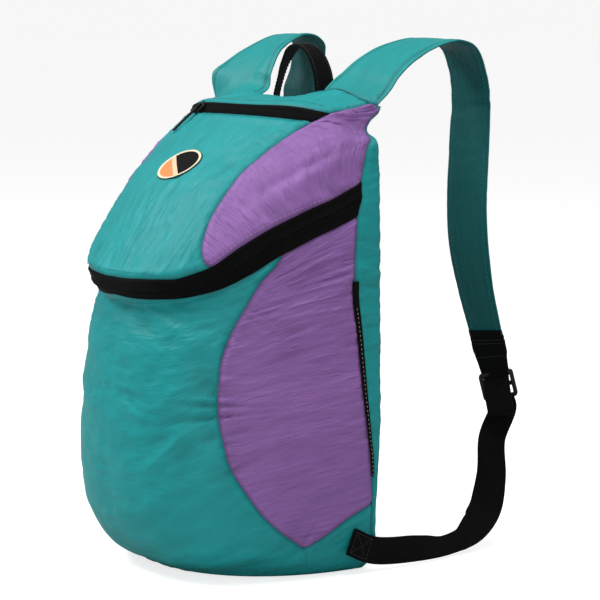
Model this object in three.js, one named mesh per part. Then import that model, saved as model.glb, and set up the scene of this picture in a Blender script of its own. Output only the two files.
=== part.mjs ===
import * as THREE from 'three';
import { mergeVertices } from 'three/addons/utils/BufferGeometryUtils.js';

// A light packable backpack standing on its flat base, in millimetres.
// X is the width, the bag's front looks along -Y and its back panel along +Y, Z is up.
// The sections are laid out from the bottom of the back panel, and the whole bag is then moved so
// that the origin is the middle of its base, on the surface that it stands on.

// Overall sizes of the packed-out bag
const bagHeight = 422;
const bagWidth = 288;
const bagDepth = 198;
const backCrown = 7;

// The right strap stands taut and draws the top corner backwards and up; the left one hangs slack
const cornerPull = 14;
const footPeak = 13;
const footPeakPlace = 0.58;
const footPeakSpread = 0.3;
const slackShare = 0.1;

// Cloth, tape and seams
const clothThickness = 1.5;
const tapeThickness = 1.6;
const seamGap = 0.4;
const baseInset = 2.0;
const baseDepth = 140;

// Shoulder straps, from the top seam to the black end tab
const strapWidth = 56;
const strapThickness = 2.5;
const strapRise = 42;
const strapReach = 139;
const strapDrop = 231;
const tabDrop = 36;
const strapSpread = 89;
const strapGap = 0.4;
const webGap = 0.5;
const webLead = 8;

// Webbing, adjusters and haul loop
const webWidth = 25;
const webThickness = 1.6;
const webDrop = 146;
const lockWidth = 33;
const lockHeight = 27;
const lockThickness = 4;
const lockBar = 3.6;
const lockCornerRadius = 4;
const tailReach = 14;
const tailLength = 34;
const haulSpan = 84;
const haulRise = 43;
const haulWidth = 20;
const haulThickness = 2;
const haulSeat = 3;

// Small fittings
const badgeLength = 55;
const badgeWidth = 38;
const badgeThickness = 1.4;
const sliderLength = 13;
const sliderWidth = 9;
const sliderHeight = 4;
const pullLength = 26;
const sliderLift = 1.2;
const sideTapeWidth = 6;
const sideTapeThickness = 1;

// Surface resolution
const bodyRows = 14;
const hemRows = 4;
const bandRows = 2;
const frontColumns = 16;
const sideColumns = 6;
const lidColumns = 14;
const wingColumns = 7;
const backColumns = 8;
const gussetColumns = 2;
const strapSteps = 30;

// Level sections of the bag, each a D lying in a plane that may slope from back to front.
// back and front: height of the section at the back panel and at the front, shares of the height.
// width and depth: shares of half the bag's width and of its depth.
// square: 2 is an ellipse, more is boxier. pull: how far the back corners are drawn
// backwards, share of the corner pull. arch: how far the back panel's line follows the section's
// rise. peak: how far the strap's foot lifts the section, share of the foot's peak.
const SECTIONS = [
  {
    name: 'base', back: 0, front: 0, width: 0.795, depth: baseDepth / bagDepth,
    square: 2.15, pull: 0, arch: 0, peak: 0,
  },
  {
    name: 'heel', back: 0.045, front: 0.049, width: 0.885, depth: 0.885,
    square: 2.4, pull: 0.3, arch: 0, peak: 0,
  },
  {
    name: 'low', back: 0.162, front: 0.156, width: 0.945, depth: 0.987,
    square: 2.5, pull: 0, arch: 0, peak: 0,
  },
  {
    name: 'belly', back: 0.36, front: 0.334, width: 1, depth: 1,
    square: 2.4, pull: 0, arch: 0, peak: 0,
  },
  {
    name: 'waist', back: 0.595, front: 0.476, width: 0.993, depth: 0.965,
    square: 2.4, pull: 0, arch: 0, peak: 0,
  },
  {
    name: 'underBand', back: 0.756, front: 0.571, width: 0.986, depth: 0.904,
    square: 2.3, pull: 0, arch: 0, peak: 0,
  },
  {
    name: 'bandLow', back: 0.796, front: 0.582, width: 0.979, depth: 0.919,
    square: 2.3, pull: 0, arch: 0, peak: 0,
  },
  {
    name: 'bandTop', back: 0.862, front: 0.626, width: 0.972, depth: 0.975,
    square: 2.3, pull: 0, arch: 0, peak: 0,
  },
  {
    name: 'lidLow', back: 0.898, front: 0.784, width: 0.965, depth: 0.753,
    square: 2.3, pull: 0, arch: 0, peak: 0,
  },
  {
    name: 'lidHigh', back: 0.922, front: 0.893, width: 0.937, depth: 0.515,
    square: 2.3, pull: -0.1, arch: 0, peak: 0,
  },
  {
    name: 'zipLow', back: 0.939, front: 0.969, width: 0.875, depth: 0.323,
    square: 2.3, pull: -0.3, arch: 0.25, peak: 0,
  },
  {
    name: 'zipTop', back: 0.953, front: 0.99, width: 0.868, depth: 0.283,
    square: 2.3, pull: -0.1, arch: 0.5, peak: 0.2,
  },
  {
    name: 'top', back: 0.968, front: 0.999, width: 0.861, depth: 0.08,
    square: 2.3, pull: 0.6, arch: 0.8, peak: 0.75,
  },
  {
    name: 'ridge', back: 0.979, front: 1, width: 0.847, depth: 0.003,
    square: 2.3, pull: 1, arch: 1, peak: 1,
  },
];
const LEVEL = Object.fromEntries(SECTIONS.map((section, i) => [section.name, i]));

// Seam lines: level counts the sections from 0, turn runs from 0 at the middle of the
// front to 1 at the back corner.
const FRONT_SEAM = [
  { level: 1.28, turn: 0.742 },
  { level: 1.7, turn: 0.667 },
  { level: 2.18, turn: 0.59 },
  { level: 2.66, turn: 0.515 },
  { level: 3.28, turn: 0.484 },
  { level: 3.7, turn: 0.484 },
  { level: 4.1, turn: 0.503 },
  { level: 4.64, turn: 0.555 },
  { level: 5.3, turn: 0.612 },
  { level: 6, turn: 0.662 },
];
const GUSSET_SEAM = [
  { level: 0, turn: 0.982 },
  { level: 1.92, turn: 0.982 },
  { level: 2.4, turn: 0.968 },
  { level: 2.9, turn: 0.943 },
  { level: 3.64, turn: 0.916 },
  { level: 4.2, turn: 0.897 },
  { level: 4.84, turn: 0.9 },
  { level: 6, turn: 0.907 },
  { level: 6.6, turn: 0.926 },
  { level: 7, turn: 0.928 },
  { level: 8.4, turn: 0.93 },
  { level: 9.4, turn: 0.97 },
  { level: 10, turn: 0.98 },
  { level: 13, turn: 0.982 },
];
const HEM_SEAM = [
  { turn: 0.742, level: 1.28 },
  { turn: 0.802, level: 1.44 },
  { turn: 0.9, level: 1.74 },
  { turn: 0.982, level: 1.92 },
];
const WING_SEAM = [
  { level: 7, turn: 0.458 },
  { level: 7.34, turn: 0.42 },
  { level: 7.6, turn: 0.386 },
  { level: 7.9, turn: 0.365 },
  { level: 8.5, turn: 0.366 },
  { level: 9, turn: 0.4 },
  { level: 9.5, turn: 0.47 },
  { level: 10, turn: 0.54 },
  { level: 11, turn: 0.622 },
  { level: 12, turn: 0.68 },
  { level: 13, turn: 0.72 },
];

// Soft folds pressed into the cloth: where each lies (level, turn), how far it runs each way
// in level and turn, its slant in levels per turn and its depth as a share of the bag's depth.
// A negative depth is a rib that stands out.
const FOLDS = [
  { name: 'under the band', level: 5.3, turn: 0, along: 0.42, around: 0.5, slant: 0.6, depth: 0.014 },
  { name: 'belly sag', level: 2.6, turn: 0.1, along: 0.6, around: 0.6, slant: 0, depth: -0.012 },
  { name: 'front pucker high', level: 3.9, turn: 0.4, along: 0.16, around: 0.1, slant: 0.5, depth: 0.011 },
  { name: 'front pucker low', level: 3.1, turn: 0.38, along: 0.16, around: 0.12, slant: 0.5, depth: 0.012 },
  { name: 'side gather high', level: 4.5, turn: 0.74, along: 0.16, around: 0.13, slant: 0.4, depth: 0.01 },
  { name: 'side gather middle', level: 3.6, turn: 0.7, along: 0.17, around: 0.15, slant: 0.3, depth: 0.009 },
  { name: 'side gather low', level: 2.6, turn: 0.76, along: 0.2, around: 0.12, slant: 0.3, depth: 0.01 },
  { name: 'lid crease', level: 7.6, turn: 0.16, along: 0.3, around: 0.12, slant: 2, depth: 0.012 },
  { name: 'lid dimple', level: 8.9, turn: 0.24, along: 0.35, around: 0.16, slant: 0, depth: 0.01 },
  { name: 'wing crease', level: 8.3, turn: 0.62, along: 0.3, around: 0.14, slant: 2.5, depth: 0.014 },
  { name: 'wing tuck', level: 10.6, turn: 0.8, along: 0.8, around: 0.08, slant: 2, depth: 0.014 },
  { name: 'back hollow', level: 3.2, turn: 1.9, along: 1.3, around: 0.5, slant: 0, depth: 0.025 },
  { name: 'back crease', level: 5.2, turn: 1.5, along: 0.4, around: 0.3, slant: 0.8, depth: 0.012 },
];

// Centre line of the right shoulder strap. out: across the bag from the strap's spread, back: share of
// the reach behind the top seam, up: rise over the top seam as a share of the strap's rise, or, once
// below the seam, the drop as a share of the strap's drop. width: share of the strap's width.
// yaw turns the strap's width towards the back and roll tips its outer edge down, in degrees.
const STRAP_LINE = [
  { part: 'foot', out: 0, back: 0, up: 0.04, width: 1.16, yaw: 10, roll: 12 },
  { part: 'rise', out: 0, back: 0.1, up: 0.12, width: 1.1, yaw: 8, roll: 12 },
  { part: 'rise', out: 0, back: 0.21, up: 0.42, width: 1.04, yaw: 5, roll: 12 },
  { part: 'rise', out: 1, back: 0.36, up: 0.74, width: 1, yaw: 2, roll: 11 },
  { part: 'arch', out: 1, back: 0.52, up: 0.94, width: 0.97, yaw: 0, roll: 7 },
  { part: 'arch', out: 2, back: 0.67, up: 1.04, width: 0.95, yaw: 0, roll: 3 },
  { part: 'arch', out: 2, back: 0.8, up: 1.03, width: 0.94, yaw: 0, roll: 0 },
  { part: 'arch', out: 3, back: 0.9, up: 0.86, width: 0.93, yaw: 0, roll: 0 },
  { part: 'turn', out: 4, back: 0.96, up: 0.44, width: 0.93, yaw: 0, roll: 0 },
  { part: 'turn', out: 5, back: 0.98, up: 0.04, width: 0.95, yaw: 0, roll: 0 },
  { part: 'fall', out: 6, back: 0.985, up: -0.07, width: 0.97, yaw: 0, roll: 0 },
  { part: 'fall', out: 7, back: 0.965, up: -0.25, width: 1, yaw: 0, roll: 0 },
  { part: 'fall', out: 9, back: 0.94, up: -0.48, width: 1, yaw: 0, roll: 0 },
  { part: 'fall', out: 11, back: 0.95, up: -0.64, width: 0.96, yaw: 2, roll: 0 },
  { part: 'fall', out: 13, back: 1, up: -0.81, width: 0.85, yaw: 4, roll: 0 },
  { part: 'end', out: 16, back: 1.08, up: -1, width: 0.72, yaw: 8, roll: 0 },
];

// How far out each strap lies, reaches back and rises, and how far its foot is twisted:
// the slack left one hangs closer to the bag
const STRAP_SIDES = {
  right: { side: 1, spread: 1, reach: 1, rise: 1, twist: 0 },
  left: { side: -1, spread: 1.1, reach: 0.64, rise: 1.26, twist: -26 },
};

// The lower webbing from the adjuster down and forward to the bag's lower back corner.
// out: millimetres out from the strap's spread, back: share of the strap's reach,
// up: height over the ground as a share of the webbing's drop, yaw and roll as for the strap.
const WEB_LINE = [
  { out: 21, back: 1.13, up: 0.69, yaw: 52, roll: 0 },
  { out: 24, back: 1.12, up: 0.44, yaw: 54, roll: 4 },
  { out: 28, back: 1.06, up: 0.25, yaw: 56, roll: 20 },
  { out: 33, back: 0.92, up: 0.145, yaw: 60, roll: 48 },
  { out: 39, back: 0.7, up: 0.107, yaw: 66, roll: 74 },
  { out: 46, back: 0.4, up: 0.106, yaw: 74, roll: 88 },
  { out: 53, back: 0.12, up: 0.135, yaw: 80, roll: 88 },
];

// Haul loop: side and up are shares of its span and rise, yaw turns the tape's width from the Y axis.
const HAUL_LINE = [
  { side: 0.5, up: -0.1, yaw: -8 },
  { side: 0.47, up: 0.12, yaw: -8 },
  { side: 0.4, up: 0.56, yaw: -4 },
  { side: 0.25, up: 0.88, yaw: 2 },
  { side: 0.05, up: 1, yaw: 10 },
  { side: -0.12, up: 0.93, yaw: 20 },
  { side: -0.265, up: 0.66, yaw: 32 },
  { side: -0.37, up: 0.32, yaw: 40 },
  { side: -0.435, up: 0.05, yaw: 40 },
  { side: -0.455, up: -0.1, yaw: 40 },
];

const COLORS = {
  teal: 0x2f9a9b,
  tealDark: 0x1d6f70,
  violet: 0x8a5ca0,
  black: 0x141517,
  cream: 0xd9cdb4,
};

function look(color, roughness) {
  return new THREE.MeshStandardMaterial({ color, roughness, metalness: 0 });
}

// A monotone cubic curve through (xs, ys), so a table's values are never overshot
function smoothCurve(xs, ys) {
  const count = xs.length;
  const step = xs.slice(1).map((x, i) => x - xs[i]);
  const slope = step.map((h, i) => (ys[i + 1] - ys[i]) / h);
  const tangent = ys.map((y, i) => {
    if (i === 0 || i === count - 1) return slope[i === 0 ? 0 : count - 2];
    const before = slope[i - 1];
    const after = slope[i];
    if (before * after <= 0) return 0;
    const w1 = 2 * step[i] + step[i - 1];
    const w2 = step[i] + 2 * step[i - 1];
    return (w1 + w2) / (w1 / before + w2 / after);
  });
  return (x) => {
    let i = 0;
    while (i < count - 2 && x > xs[i + 1]) i += 1;
    const t = Math.min(Math.max((x - xs[i]) / step[i], 0), 1);
    const t2 = t * t;
    const t3 = t2 * t;
    const rise = (2 * t3 - 3 * t2 + 1) * ys[i] + (-2 * t3 + 3 * t2) * ys[i + 1];
    return rise + step[i] * ((t3 - 2 * t2 + t) * tangent[i] + (t3 - t2) * tangent[i + 1]);
  };
}

function tableCurve(table, key, value) {
  return smoothCurve(table.map((row) => row[key]), table.map((row) => row[value]));
}

const levels = SECTIONS.map((section, i) => i);
const column = (key) => smoothCurve(levels, SECTIONS.map((section) => section[key]));
const backAt = column('back');
const frontAt = column('front');
const widthAt = column('width');
const depthAt = column('depth');
const squareAt = column('square');
const pullAt = column('pull');
const archAt = column('arch');
const peakAt = column('peak');
const frontSeam = tableCurve(FRONT_SEAM, 'level', 'turn');
const gussetSeam = tableCurve(GUSSET_SEAM, 'level', 'turn');
const hemSeam = tableCurve(HEM_SEAM, 'turn', 'level');
const wingSeam = tableCurve(WING_SEAM, 'level', 'turn');

// How much of the taut strap's pull reaches a place, from -1 at the left corner to 1 at the right
const tautness = (across) => slackShare + ((1 - slackShare) * (1 + across)) / 2;

function footLift(across) {
  const off = (Math.abs(across) - footPeakPlace) / footPeakSpread;
  return footPeak * tautness(across) * Math.exp(-off * off);
}

// A point of the bag's smooth outer form. |turn| up to 1 is the D's curve,
// and from 1 to 2 it crosses the back panel from its corner to its middle.
function smoothForm(level, turn) {
  const side = Math.sign(turn) || 1;
  const round = Math.abs(turn);
  const half = (widthAt(level) * bagWidth) / 2;
  const back = backAt(level) * bagHeight;
  const rise = frontAt(level) * bagHeight - back;
  const n = squareAt(level);
  const angle = (Math.min(round, 1) * Math.PI) / 2;
  const sin = Math.abs(Math.sin(angle));
  const cos = Math.abs(Math.cos(angle));
  const r = Math.pow(Math.pow(sin, n) + Math.pow(cos, n), -1 / n);
  const across = side * (round <= 1 ? r * sin : 2 - round);
  const pull = pullAt(level) * cornerPull * tautness(across);
  const lift = peakAt(level) * footLift(across);
  if (round <= 1) {
    const forward = r * cos;
    const y = pull - forward * (depthAt(level) * bagDepth + pull);
    return new THREE.Vector3(across * half, y, back + rise * forward + lift);
  }
  const rim = Math.pow(1 - Math.pow(Math.abs(across), n), 1 / n) * archAt(level);
  const crown = backCrown * (1 - across * across) * Math.sin((Math.PI * level) / LEVEL.ridge);
  const y = pull - rim * (SECTIONS[LEVEL.ridge].depth * bagDepth + pull) + crown;
  return new THREE.Vector3(across * half, y, back + rise * rim + lift);
}

function formNormal(level, turn) {
  const reach = 0.02;
  const lift = Math.min(Math.max(level, reach), LEVEL.ridge - reach);
  const up = smoothForm(lift + reach, turn).sub(smoothForm(lift - reach, turn));
  const around = smoothForm(lift, turn + reach).sub(smoothForm(lift, turn - reach));
  return around.cross(up).normalize();
}

function foldDepth(level, turn) {
  const edge = Math.min(level, LEVEL.ridge - level, 1);
  return FOLDS.reduce((sum, fold) => {
    const across = (Math.abs(turn) - fold.turn) / fold.around;
    const along = (level - fold.level - fold.slant * (Math.abs(turn) - fold.turn)) / fold.along;
    return sum + fold.depth * bagDepth * edge * Math.exp(-across * across - along * along);
  }, 0);
}

function form(level, turn) {
  const point = smoothForm(level, turn);
  const sunk = foldDepth(level, turn);
  return Math.abs(sunk) < 0.01 ? point : point.addScaledVector(formNormal(level, turn), -sunk);
}

function spread(from, to, count) {
  return Array.from({ length: count + 1 }, (unused, i) => from + ((to - from) * i) / count);
}

function geometryFrom(points, faces) {
  const geometry = new THREE.BufferGeometry();
  const flat = points.flatMap((p) => [p.x, p.y, p.z]);
  geometry.setAttribute('position', new THREE.Float32BufferAttribute(flat, 3));
  geometry.setIndex(faces.flat());
  geometry.computeVertexNormals();
  return geometry;
}

// Joins grids of points into one sheet with shared vertices, and turns the sheet into a closed
// wall: its border is drawn in by the trim at each border point, its outer face is raised by the
// lift, and its inner face lies one thickness below along the surface's normal.
function wall(grids, thickness, trimAt, lift = 0) {
  const points = [];
  const trims = [];
  const seen = new Map();
  const faces = [];
  const add = (entry) => {
    const key = entry.point.toArray().map((value) => Math.round(value * 1000)).join(' ');
    if (!seen.has(key)) {
      seen.set(key, points.length);
      points.push(entry.point);
      trims.push(trimAt(entry.level, entry.turn));
    }
    return seen.get(key);
  };
  for (const grid of grids) {
    const ids = grid.map((row) => row.map(add));
    for (let i = 0; i + 1 < ids.length; i += 1) {
      for (let j = 0; j + 1 < ids[i].length; j += 1) {
        const [a, b, c, d] = [ids[i][j], ids[i][j + 1], ids[i + 1][j + 1], ids[i + 1][j]];
        const halves = [[a, b, c], [a, c, d]];
        faces.push(...halves.filter((f) => new Set(f).size === 3));
      }
    }
  }
  const normals = points.map(() => new THREE.Vector3());
  const inward = points.map(() => new THREE.Vector3());
  const used = new Set(faces.flatMap((f) => f.map((p, k) => `${p} ${f[(k + 1) % 3]}`)));
  const border = [];
  for (const face of faces) {
    const [p, q, r] = face.map((id) => points[id]);
    const normal = q.clone().sub(p).cross(r.clone().sub(p));
    face.forEach((id) => normals[id].add(normal));
    const flat = normal.clone().normalize();
    face.forEach((id, k) => {
      const next = face[(k + 1) % 3];
      if (used.has(`${next} ${id}`)) return;
      border.push([id, next]);
      const edge = points[next].clone().sub(points[id]).normalize();
      const into = flat.clone().cross(edge);
      inward[id].add(into);
      inward[next].add(into);
    });
  }
  const outer = points.map((point, i) => {
    const raised = point.clone().addScaledVector(normals[i].normalize(), lift);
    const length = inward[i].length();
    if (length < 0.1) return raised;
    return raised.addScaledVector(inward[i], (2 * trims[i]) / (length * length));
  });
  const inner = outer.map((p, i) => p.clone().addScaledVector(normals[i], -thickness));
  const count = points.length;
  const shell = faces.map((f) => [...f]);
  shell.push(...faces.map(([a, b, c]) => [c + count, b + count, a + count]));
  for (const [a, b] of border) {
    shell.push([b, a, a + count], [b, a + count, b + count]);
  }
  return geometryFrom([...outer, ...inner], shell);
}

const entry = (level, turn) => ({ level, turn, point: form(level, turn) });

// A grid over the form: each row has its level and turn at its left and right ends
function patch(rows, columns) {
  return rows.map(({ left, right }) =>
    spread(0, 1, columns).map((s) =>
      entry(left.level + (right.level - left.level) * s, left.turn + (right.turn - left.turn) * s)));
}

const mirrored = (grid) =>
  grid.map((row) => row.map(({ level, turn }) => entry(level, -turn)).reverse());

// How far a border is drawn back from its seam. At a crease, where two walls meet at an angle, it
// is more, so that their inner faces stay clear of each other.
const creases = [
  { level: LEVEL.bandLow, share: 0.25 },
  { level: LEVEL.bandTop, share: 0.75 },
  { level: LEVEL.zipLow, share: 0.2 },
  { level: LEVEL.zipTop, share: 0.6 },
];
function seamTrim(level) {
  const crease = creases.find((line) => Math.abs(line.level - level) < 0.01);
  return seamGap / 2 + (crease ? crease.share * clothThickness : 0);
}
const flatTrim = () => seamGap / 2;
const hemTop = hemSeam(HEM_SEAM[0].turn);
const hemBack = hemSeam(HEM_SEAM[HEM_SEAM.length - 1].turn);
const bodyShares = spread(0, 1, bodyRows);
const frontLevels = bodyShares.map((s) => hemTop + (LEVEL.bandLow - hemTop) * s);
const gussetLevels = bodyShares.map((s) => hemBack + (LEVEL.bandLow - hemBack) * s);
const bandLevels = spread(LEVEL.bandLow, LEVEL.bandTop, bandRows);
const lidLevels = spread(LEVEL.bandTop, LEVEL.zipLow, 6);
const topLevels = [LEVEL.zipLow, LEVEL.zipTop];
const yokeLevels = spread(LEVEL.zipTop, LEVEL.ridge, 4);
const wingLevels = [...lidLevels, ...yokeLevels];

function lowerFront() {
  const startTurn = FRONT_SEAM[0].turn;
  const hem = spread(0, 1, hemRows);
  const below = hem.slice(0, -1).map((s) => ({
    left: { level: hemTop * s, turn: -startTurn },
    right: { level: hemTop * s, turn: startTurn },
  }));
  const above = frontLevels.map((level) => ({
    left: { level, turn: -frontSeam(level) },
    right: { level, turn: frontSeam(level) },
  }));
  const middle = patch([...below, ...above], frontColumns);
  const turns = spread(startTurn, gussetSeam(0), sideColumns);
  const corner = hem.map((s) => turns.map((turn) => entry(hemSeam(turn) * s, turn)));
  return wall([middle, corner, mirrored(corner)], clothThickness, seamTrim);
}

function lowerSide(turned) {
  const turns = spread(FRONT_SEAM[0].turn, gussetSeam(0), sideColumns);
  const grid = bodyShares.map((s, i) => {
    const start = frontSeam(frontLevels[i]);
    const end = gussetSeam(gussetLevels[i]);
    const settle = Math.pow(1 - s, 3);
    return spread(0, 1, sideColumns).map((t, j) => {
      const plainLevel = frontLevels[i] + (gussetLevels[i] - frontLevels[i]) * t;
      const hemLine = hemTop + (hemBack - hemTop) * t;
      return entry(plainLevel + (hemSeam(turns[j]) - hemLine) * settle, start + (end - start) * t);
    });
  });
  return wall([turned(grid)], clothThickness, (level) => seamTrim(level));
}

// The band's lower edge follows the panels below it and its upper edge those above it
function zipBand() {
  const frontTurn = frontSeam(LEVEL.bandLow);
  const wingTurn = wingSeam(LEVEL.bandTop);
  const lowEnd = gussetSeam(LEVEL.bandLow);
  const topEnd = gussetSeam(LEVEL.bandTop);
  const low = [
    ...spread(-lowEnd, -frontTurn, sideColumns),
    ...spread(-frontTurn, frontTurn, frontColumns).slice(1, -1),
    ...spread(frontTurn, lowEnd, sideColumns),
  ];
  const top = [
    ...spread(-topEnd, -wingTurn, wingColumns),
    ...spread(-wingTurn, wingTurn, lidColumns).slice(1, -1),
    ...spread(wingTurn, topEnd, wingColumns),
  ];
  const grid = bandLevels.map((level) => {
    const s = level - LEVEL.bandLow;
    const end = gussetSeam(level);
    return low.map((turn, j) => {
      const plain = turn + (top[j] - turn) * s;
      const plainEnd = lowEnd + (topEnd - lowEnd) * s;
      return entry(level, (plain / plainEnd) * end);
    });
  });
  return wall([grid], tapeThickness, seamTrim);
}

function between(levelList, columns, thickness) {
  const rows = levelList.map((level) => ({
    left: { level, turn: -wingSeam(level) },
    right: { level, turn: wingSeam(level) },
  }));
  return wall([patch(rows, columns)], thickness, seamTrim);
}

// Near the top seam the side panel stops short of the corner, where the strap's end is sewn in
const wingEndAtTop = 0.9;
const wingEnd = (level) =>
  (level > LEVEL.top - 0.01 ? Math.min(gussetSeam(level), wingEndAtTop) : gussetSeam(level));

function lidSide(turned) {
  const rows = wingLevels.map((level) => ({
    left: { level, turn: wingSeam(level) },
    right: { level, turn: wingEnd(level) },
  }));
  const atEnd = (level, turn) => Math.abs(turn) > wingEnd(level) - 0.001;
  const atCorner = (level, turn) => level > LEVEL.lidHigh + 0.4 && atEnd(level, turn);
  const trim = (level, turn) => {
    if (atCorner(level, turn)) return (level > LEVEL.zipTop ? 2.4 : 1) * clothThickness + 2 * seamGap;
    return level < LEVEL.bandTop + 0.01 ? seamTrim(level) : flatTrim();
  };
  return wall([turned(patch(rows, wingColumns))], clothThickness, trim);
}

function backPanel() {
  const hem = spread(0, hemBack, hemRows).slice(0, -1);
  const all = [...hem, ...gussetLevels, ...bandLevels.slice(1), ...wingLevels.slice(1)];
  const half = all.map((level) => [
    ...spread(gussetSeam(level), 1, gussetColumns),
    ...spread(1, 2, backColumns / 2).slice(1),
  ].map((turn) => entry(level, turn)));
  const atRidge = (level) => level > LEVEL.ridge - 0.01;
  const lap = clothThickness + 2 * seamGap + 0.3;
  const trim = (level) => (atRidge(level) ? lap : seamGap / 2);
  const left = mirrored(half);
  return wall([half, left], clothThickness, trim);
}

function bottomPanel() {
  const startTurn = FRONT_SEAM[0].turn;
  const cornerTurn = gussetSeam(0);
  const round = [
    ...spread(-cornerTurn, -startTurn, sideColumns),
    ...spread(-startTurn, startTurn, frontColumns).slice(1, -1),
    ...spread(startTurn, cornerTurn, sideColumns),
    1,
  ];
  const outline = [...round.map((turn) => form(0, turn)), form(0, -1)];
  const into = outline.map((point, i) => {
    const before = outline[(i + outline.length - 1) % outline.length];
    const after = outline[(i + 1) % outline.length];
    const a = new THREE.Vector2(point.x - before.x, point.y - before.y).normalize();
    const b = new THREE.Vector2(after.x - point.x, after.y - point.y).normalize();
    const miter = new THREE.Vector2(-a.y - b.y, a.x + b.x);
    return miter.multiplyScalar((2 * baseInset) / miter.lengthSq()).add(point);
  });
  return new THREE.ExtrudeGeometry(new THREE.Shape(into), { depth: clothThickness, bevelEnabled: false });
}

// A flat tape of even thickness along stations { center, across, half }: across points to one
// edge, half is half the width, and the tape's faces are square to its path. A station may
// state its own path where the tape leaves another piece.
function tape(stations, thickness) {
  const points = [];
  const faces = [];
  stations.forEach(({ center, across, half, leaving }, i) => {
    const before = stations[Math.max(i - 1, 0)].center;
    const after = stations[Math.min(i + 1, stations.length - 1)].center;
    const path = (leaving ?? after.clone().sub(before)).clone().normalize();
    const edge = across.clone().addScaledVector(path, -across.dot(path)).normalize();
    const normal = edge.clone().cross(path).multiplyScalar(thickness / 2);
    for (const [side, face] of [[-1, -1], [1, -1], [1, 1], [-1, 1]]) {
      points.push(center.clone().addScaledVector(edge, side * half).addScaledVector(normal, face));
    }
    if (i === 0) return;
    const base = 4 * (i - 1);
    for (let k = 0; k < 4; k += 1) {
      const [a, b] = [base + k, base + ((k + 1) % 4)];
      faces.push([a, b, b + 4], [a, b + 4, a + 4]);
    }
  });
  const last = 4 * (stations.length - 1);
  faces.push([0, 2, 1], [0, 3, 2], [last, last + 1, last + 2], [last, last + 2, last + 3]);
  return outward(geometryFrom(points, faces));
}

function volumeOf(geometry) {
  const p = geometry.getAttribute('position');
  const [a, b, c] = [new THREE.Vector3(), new THREE.Vector3(), new THREE.Vector3()];
  let sum = 0;
  for (let i = 0; i < geometry.index.count; i += 3) {
    [a, b, c].forEach((v, k) => v.fromBufferAttribute(p, geometry.index.getX(i + k)));
    sum += a.dot(b.cross(c)) / 6;
  }
  return sum;
}

function flip(geometry) {
  const index = geometry.index;
  for (let i = 0; i < index.count; i += 3) {
    const first = index.getX(i);
    index.setX(i, index.getX(i + 1));
    index.setX(i + 1, first);
  }
  geometry.computeVertexNormals();
  return geometry;
}

const outward = (geometry) => (volumeOf(geometry) < 0 ? flip(geometry) : geometry);

function mirrorGeometry(geometry) {
  const bare = geometry.clone();
  bare.deleteAttribute('normal');
  bare.deleteAttribute('uv');
  return flip(mergeVertices(bare).scale(-1, 1, 1));
}

const degrees = (angle) => THREE.MathUtils.degToRad(angle);

// Width direction of a tape: along X, turned towards the back by yaw, outer edge tipped down by roll
function acrossBy(yaw, roll) {
  const flat = new THREE.Vector3(Math.cos(degrees(yaw)), Math.sin(degrees(yaw)), 0);
  const tip = new THREE.Vector3(0, 0, -Math.sin(degrees(roll)));
  return flat.multiplyScalar(Math.cos(degrees(roll))).add(tip);
}

// Stations evenly along a smooth line through the table's points
function alongLine(rows, toPoint, steps) {
  const curve = new THREE.CatmullRomCurve3(rows.map(toPoint), false, 'centripetal');
  const lengths = curve.getLengths(20 * (rows.length - 1));
  const reached = rows.map((row, i) => lengths[20 * i]);
  const total = reached[rows.length - 1];
  const value = (key) => smoothCurve(reached, rows.map((row) => row[key]));
  const [widthOf, yawOf, rollOf] = ['width', 'yaw', 'roll'].map(value);
  return spread(0, 1, steps).map((s) => ({
    center: curve.getPointAt(s),
    across: acrossBy(yawOf(s * total), rollOf(s * total)),
    width: widthOf(s * total),
  }));
}

// The top seam where the straps are sewn in: its height and place at a distance from the middle
function ridgeAt(x) {
  const last = SECTIONS[LEVEL.ridge];
  const across = x / ((last.width * bagWidth) / 2);
  const forward = Math.pow(1 - Math.pow(Math.abs(across), last.square), 1 / last.square);
  const pull = last.pull * cornerPull * tautness(across);
  const z = (last.back + (last.front - last.back) * forward) * bagHeight + footLift(across);
  return new THREE.Vector3(x, pull - forward * (last.depth * bagDepth + pull), z);
}

const twistReach = 0.8;

// Straps are laid out on the right-hand side, and the left one is mirrored afterwards
function strapPoint(row, sideways) {
  const spreadOut = sideways.spread * strapSpread;
  const foot = ridgeAt(sideways.side * spreadOut);
  const rise = row.up > 0 ? row.up * strapRise * sideways.rise : row.up * strapDrop;
  const seat = strapThickness / 2 + strapGap;
  return new THREE.Vector3(
    spreadOut + row.out,
    foot.y + row.back * strapReach * sideways.reach,
    foot.z + seat + rise,
  );
}

function strapStations(sideways) {
  const rows = STRAP_LINE.map((row) => ({
    ...row,
    yaw: row.yaw + sideways.twist * Math.max(0, 1 - row.back / twistReach),
  }));
  return alongLine(rows, (row) => strapPoint(row, sideways), strapSteps);
}

function shoulderStrap(sideways) {
  const stations = strapStations(sideways).map((station) => ({
    ...station,
    half: (station.width * strapWidth) / 2,
  }));
  return tape(stations, strapThickness);
}

// The end tab, adjuster and tail follow the strap's last direction
function strapEnd(sideways) {
  const stations = strapStations(sideways);
  const end = stations[stations.length - 1];
  const before = stations[stations.length - 2];
  const path = end.center.clone().sub(before.center).normalize();
  return { center: end.center, path, across: end.across, half: (end.width * strapWidth) / 2 };
}

const lockYaw = 42;

function lockFrame(sideways) {
  const end = strapEnd(sideways);
  const center = end.center.clone().addScaledVector(end.path, tabDrop + strapGap + lockHeight / 2);
  const side = acrossBy(lockYaw, 0);
  side.addScaledVector(end.path, -side.dot(end.path)).normalize();
  return { center, side, path: end.path, normal: side.clone().cross(end.path).normalize() };
}

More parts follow.
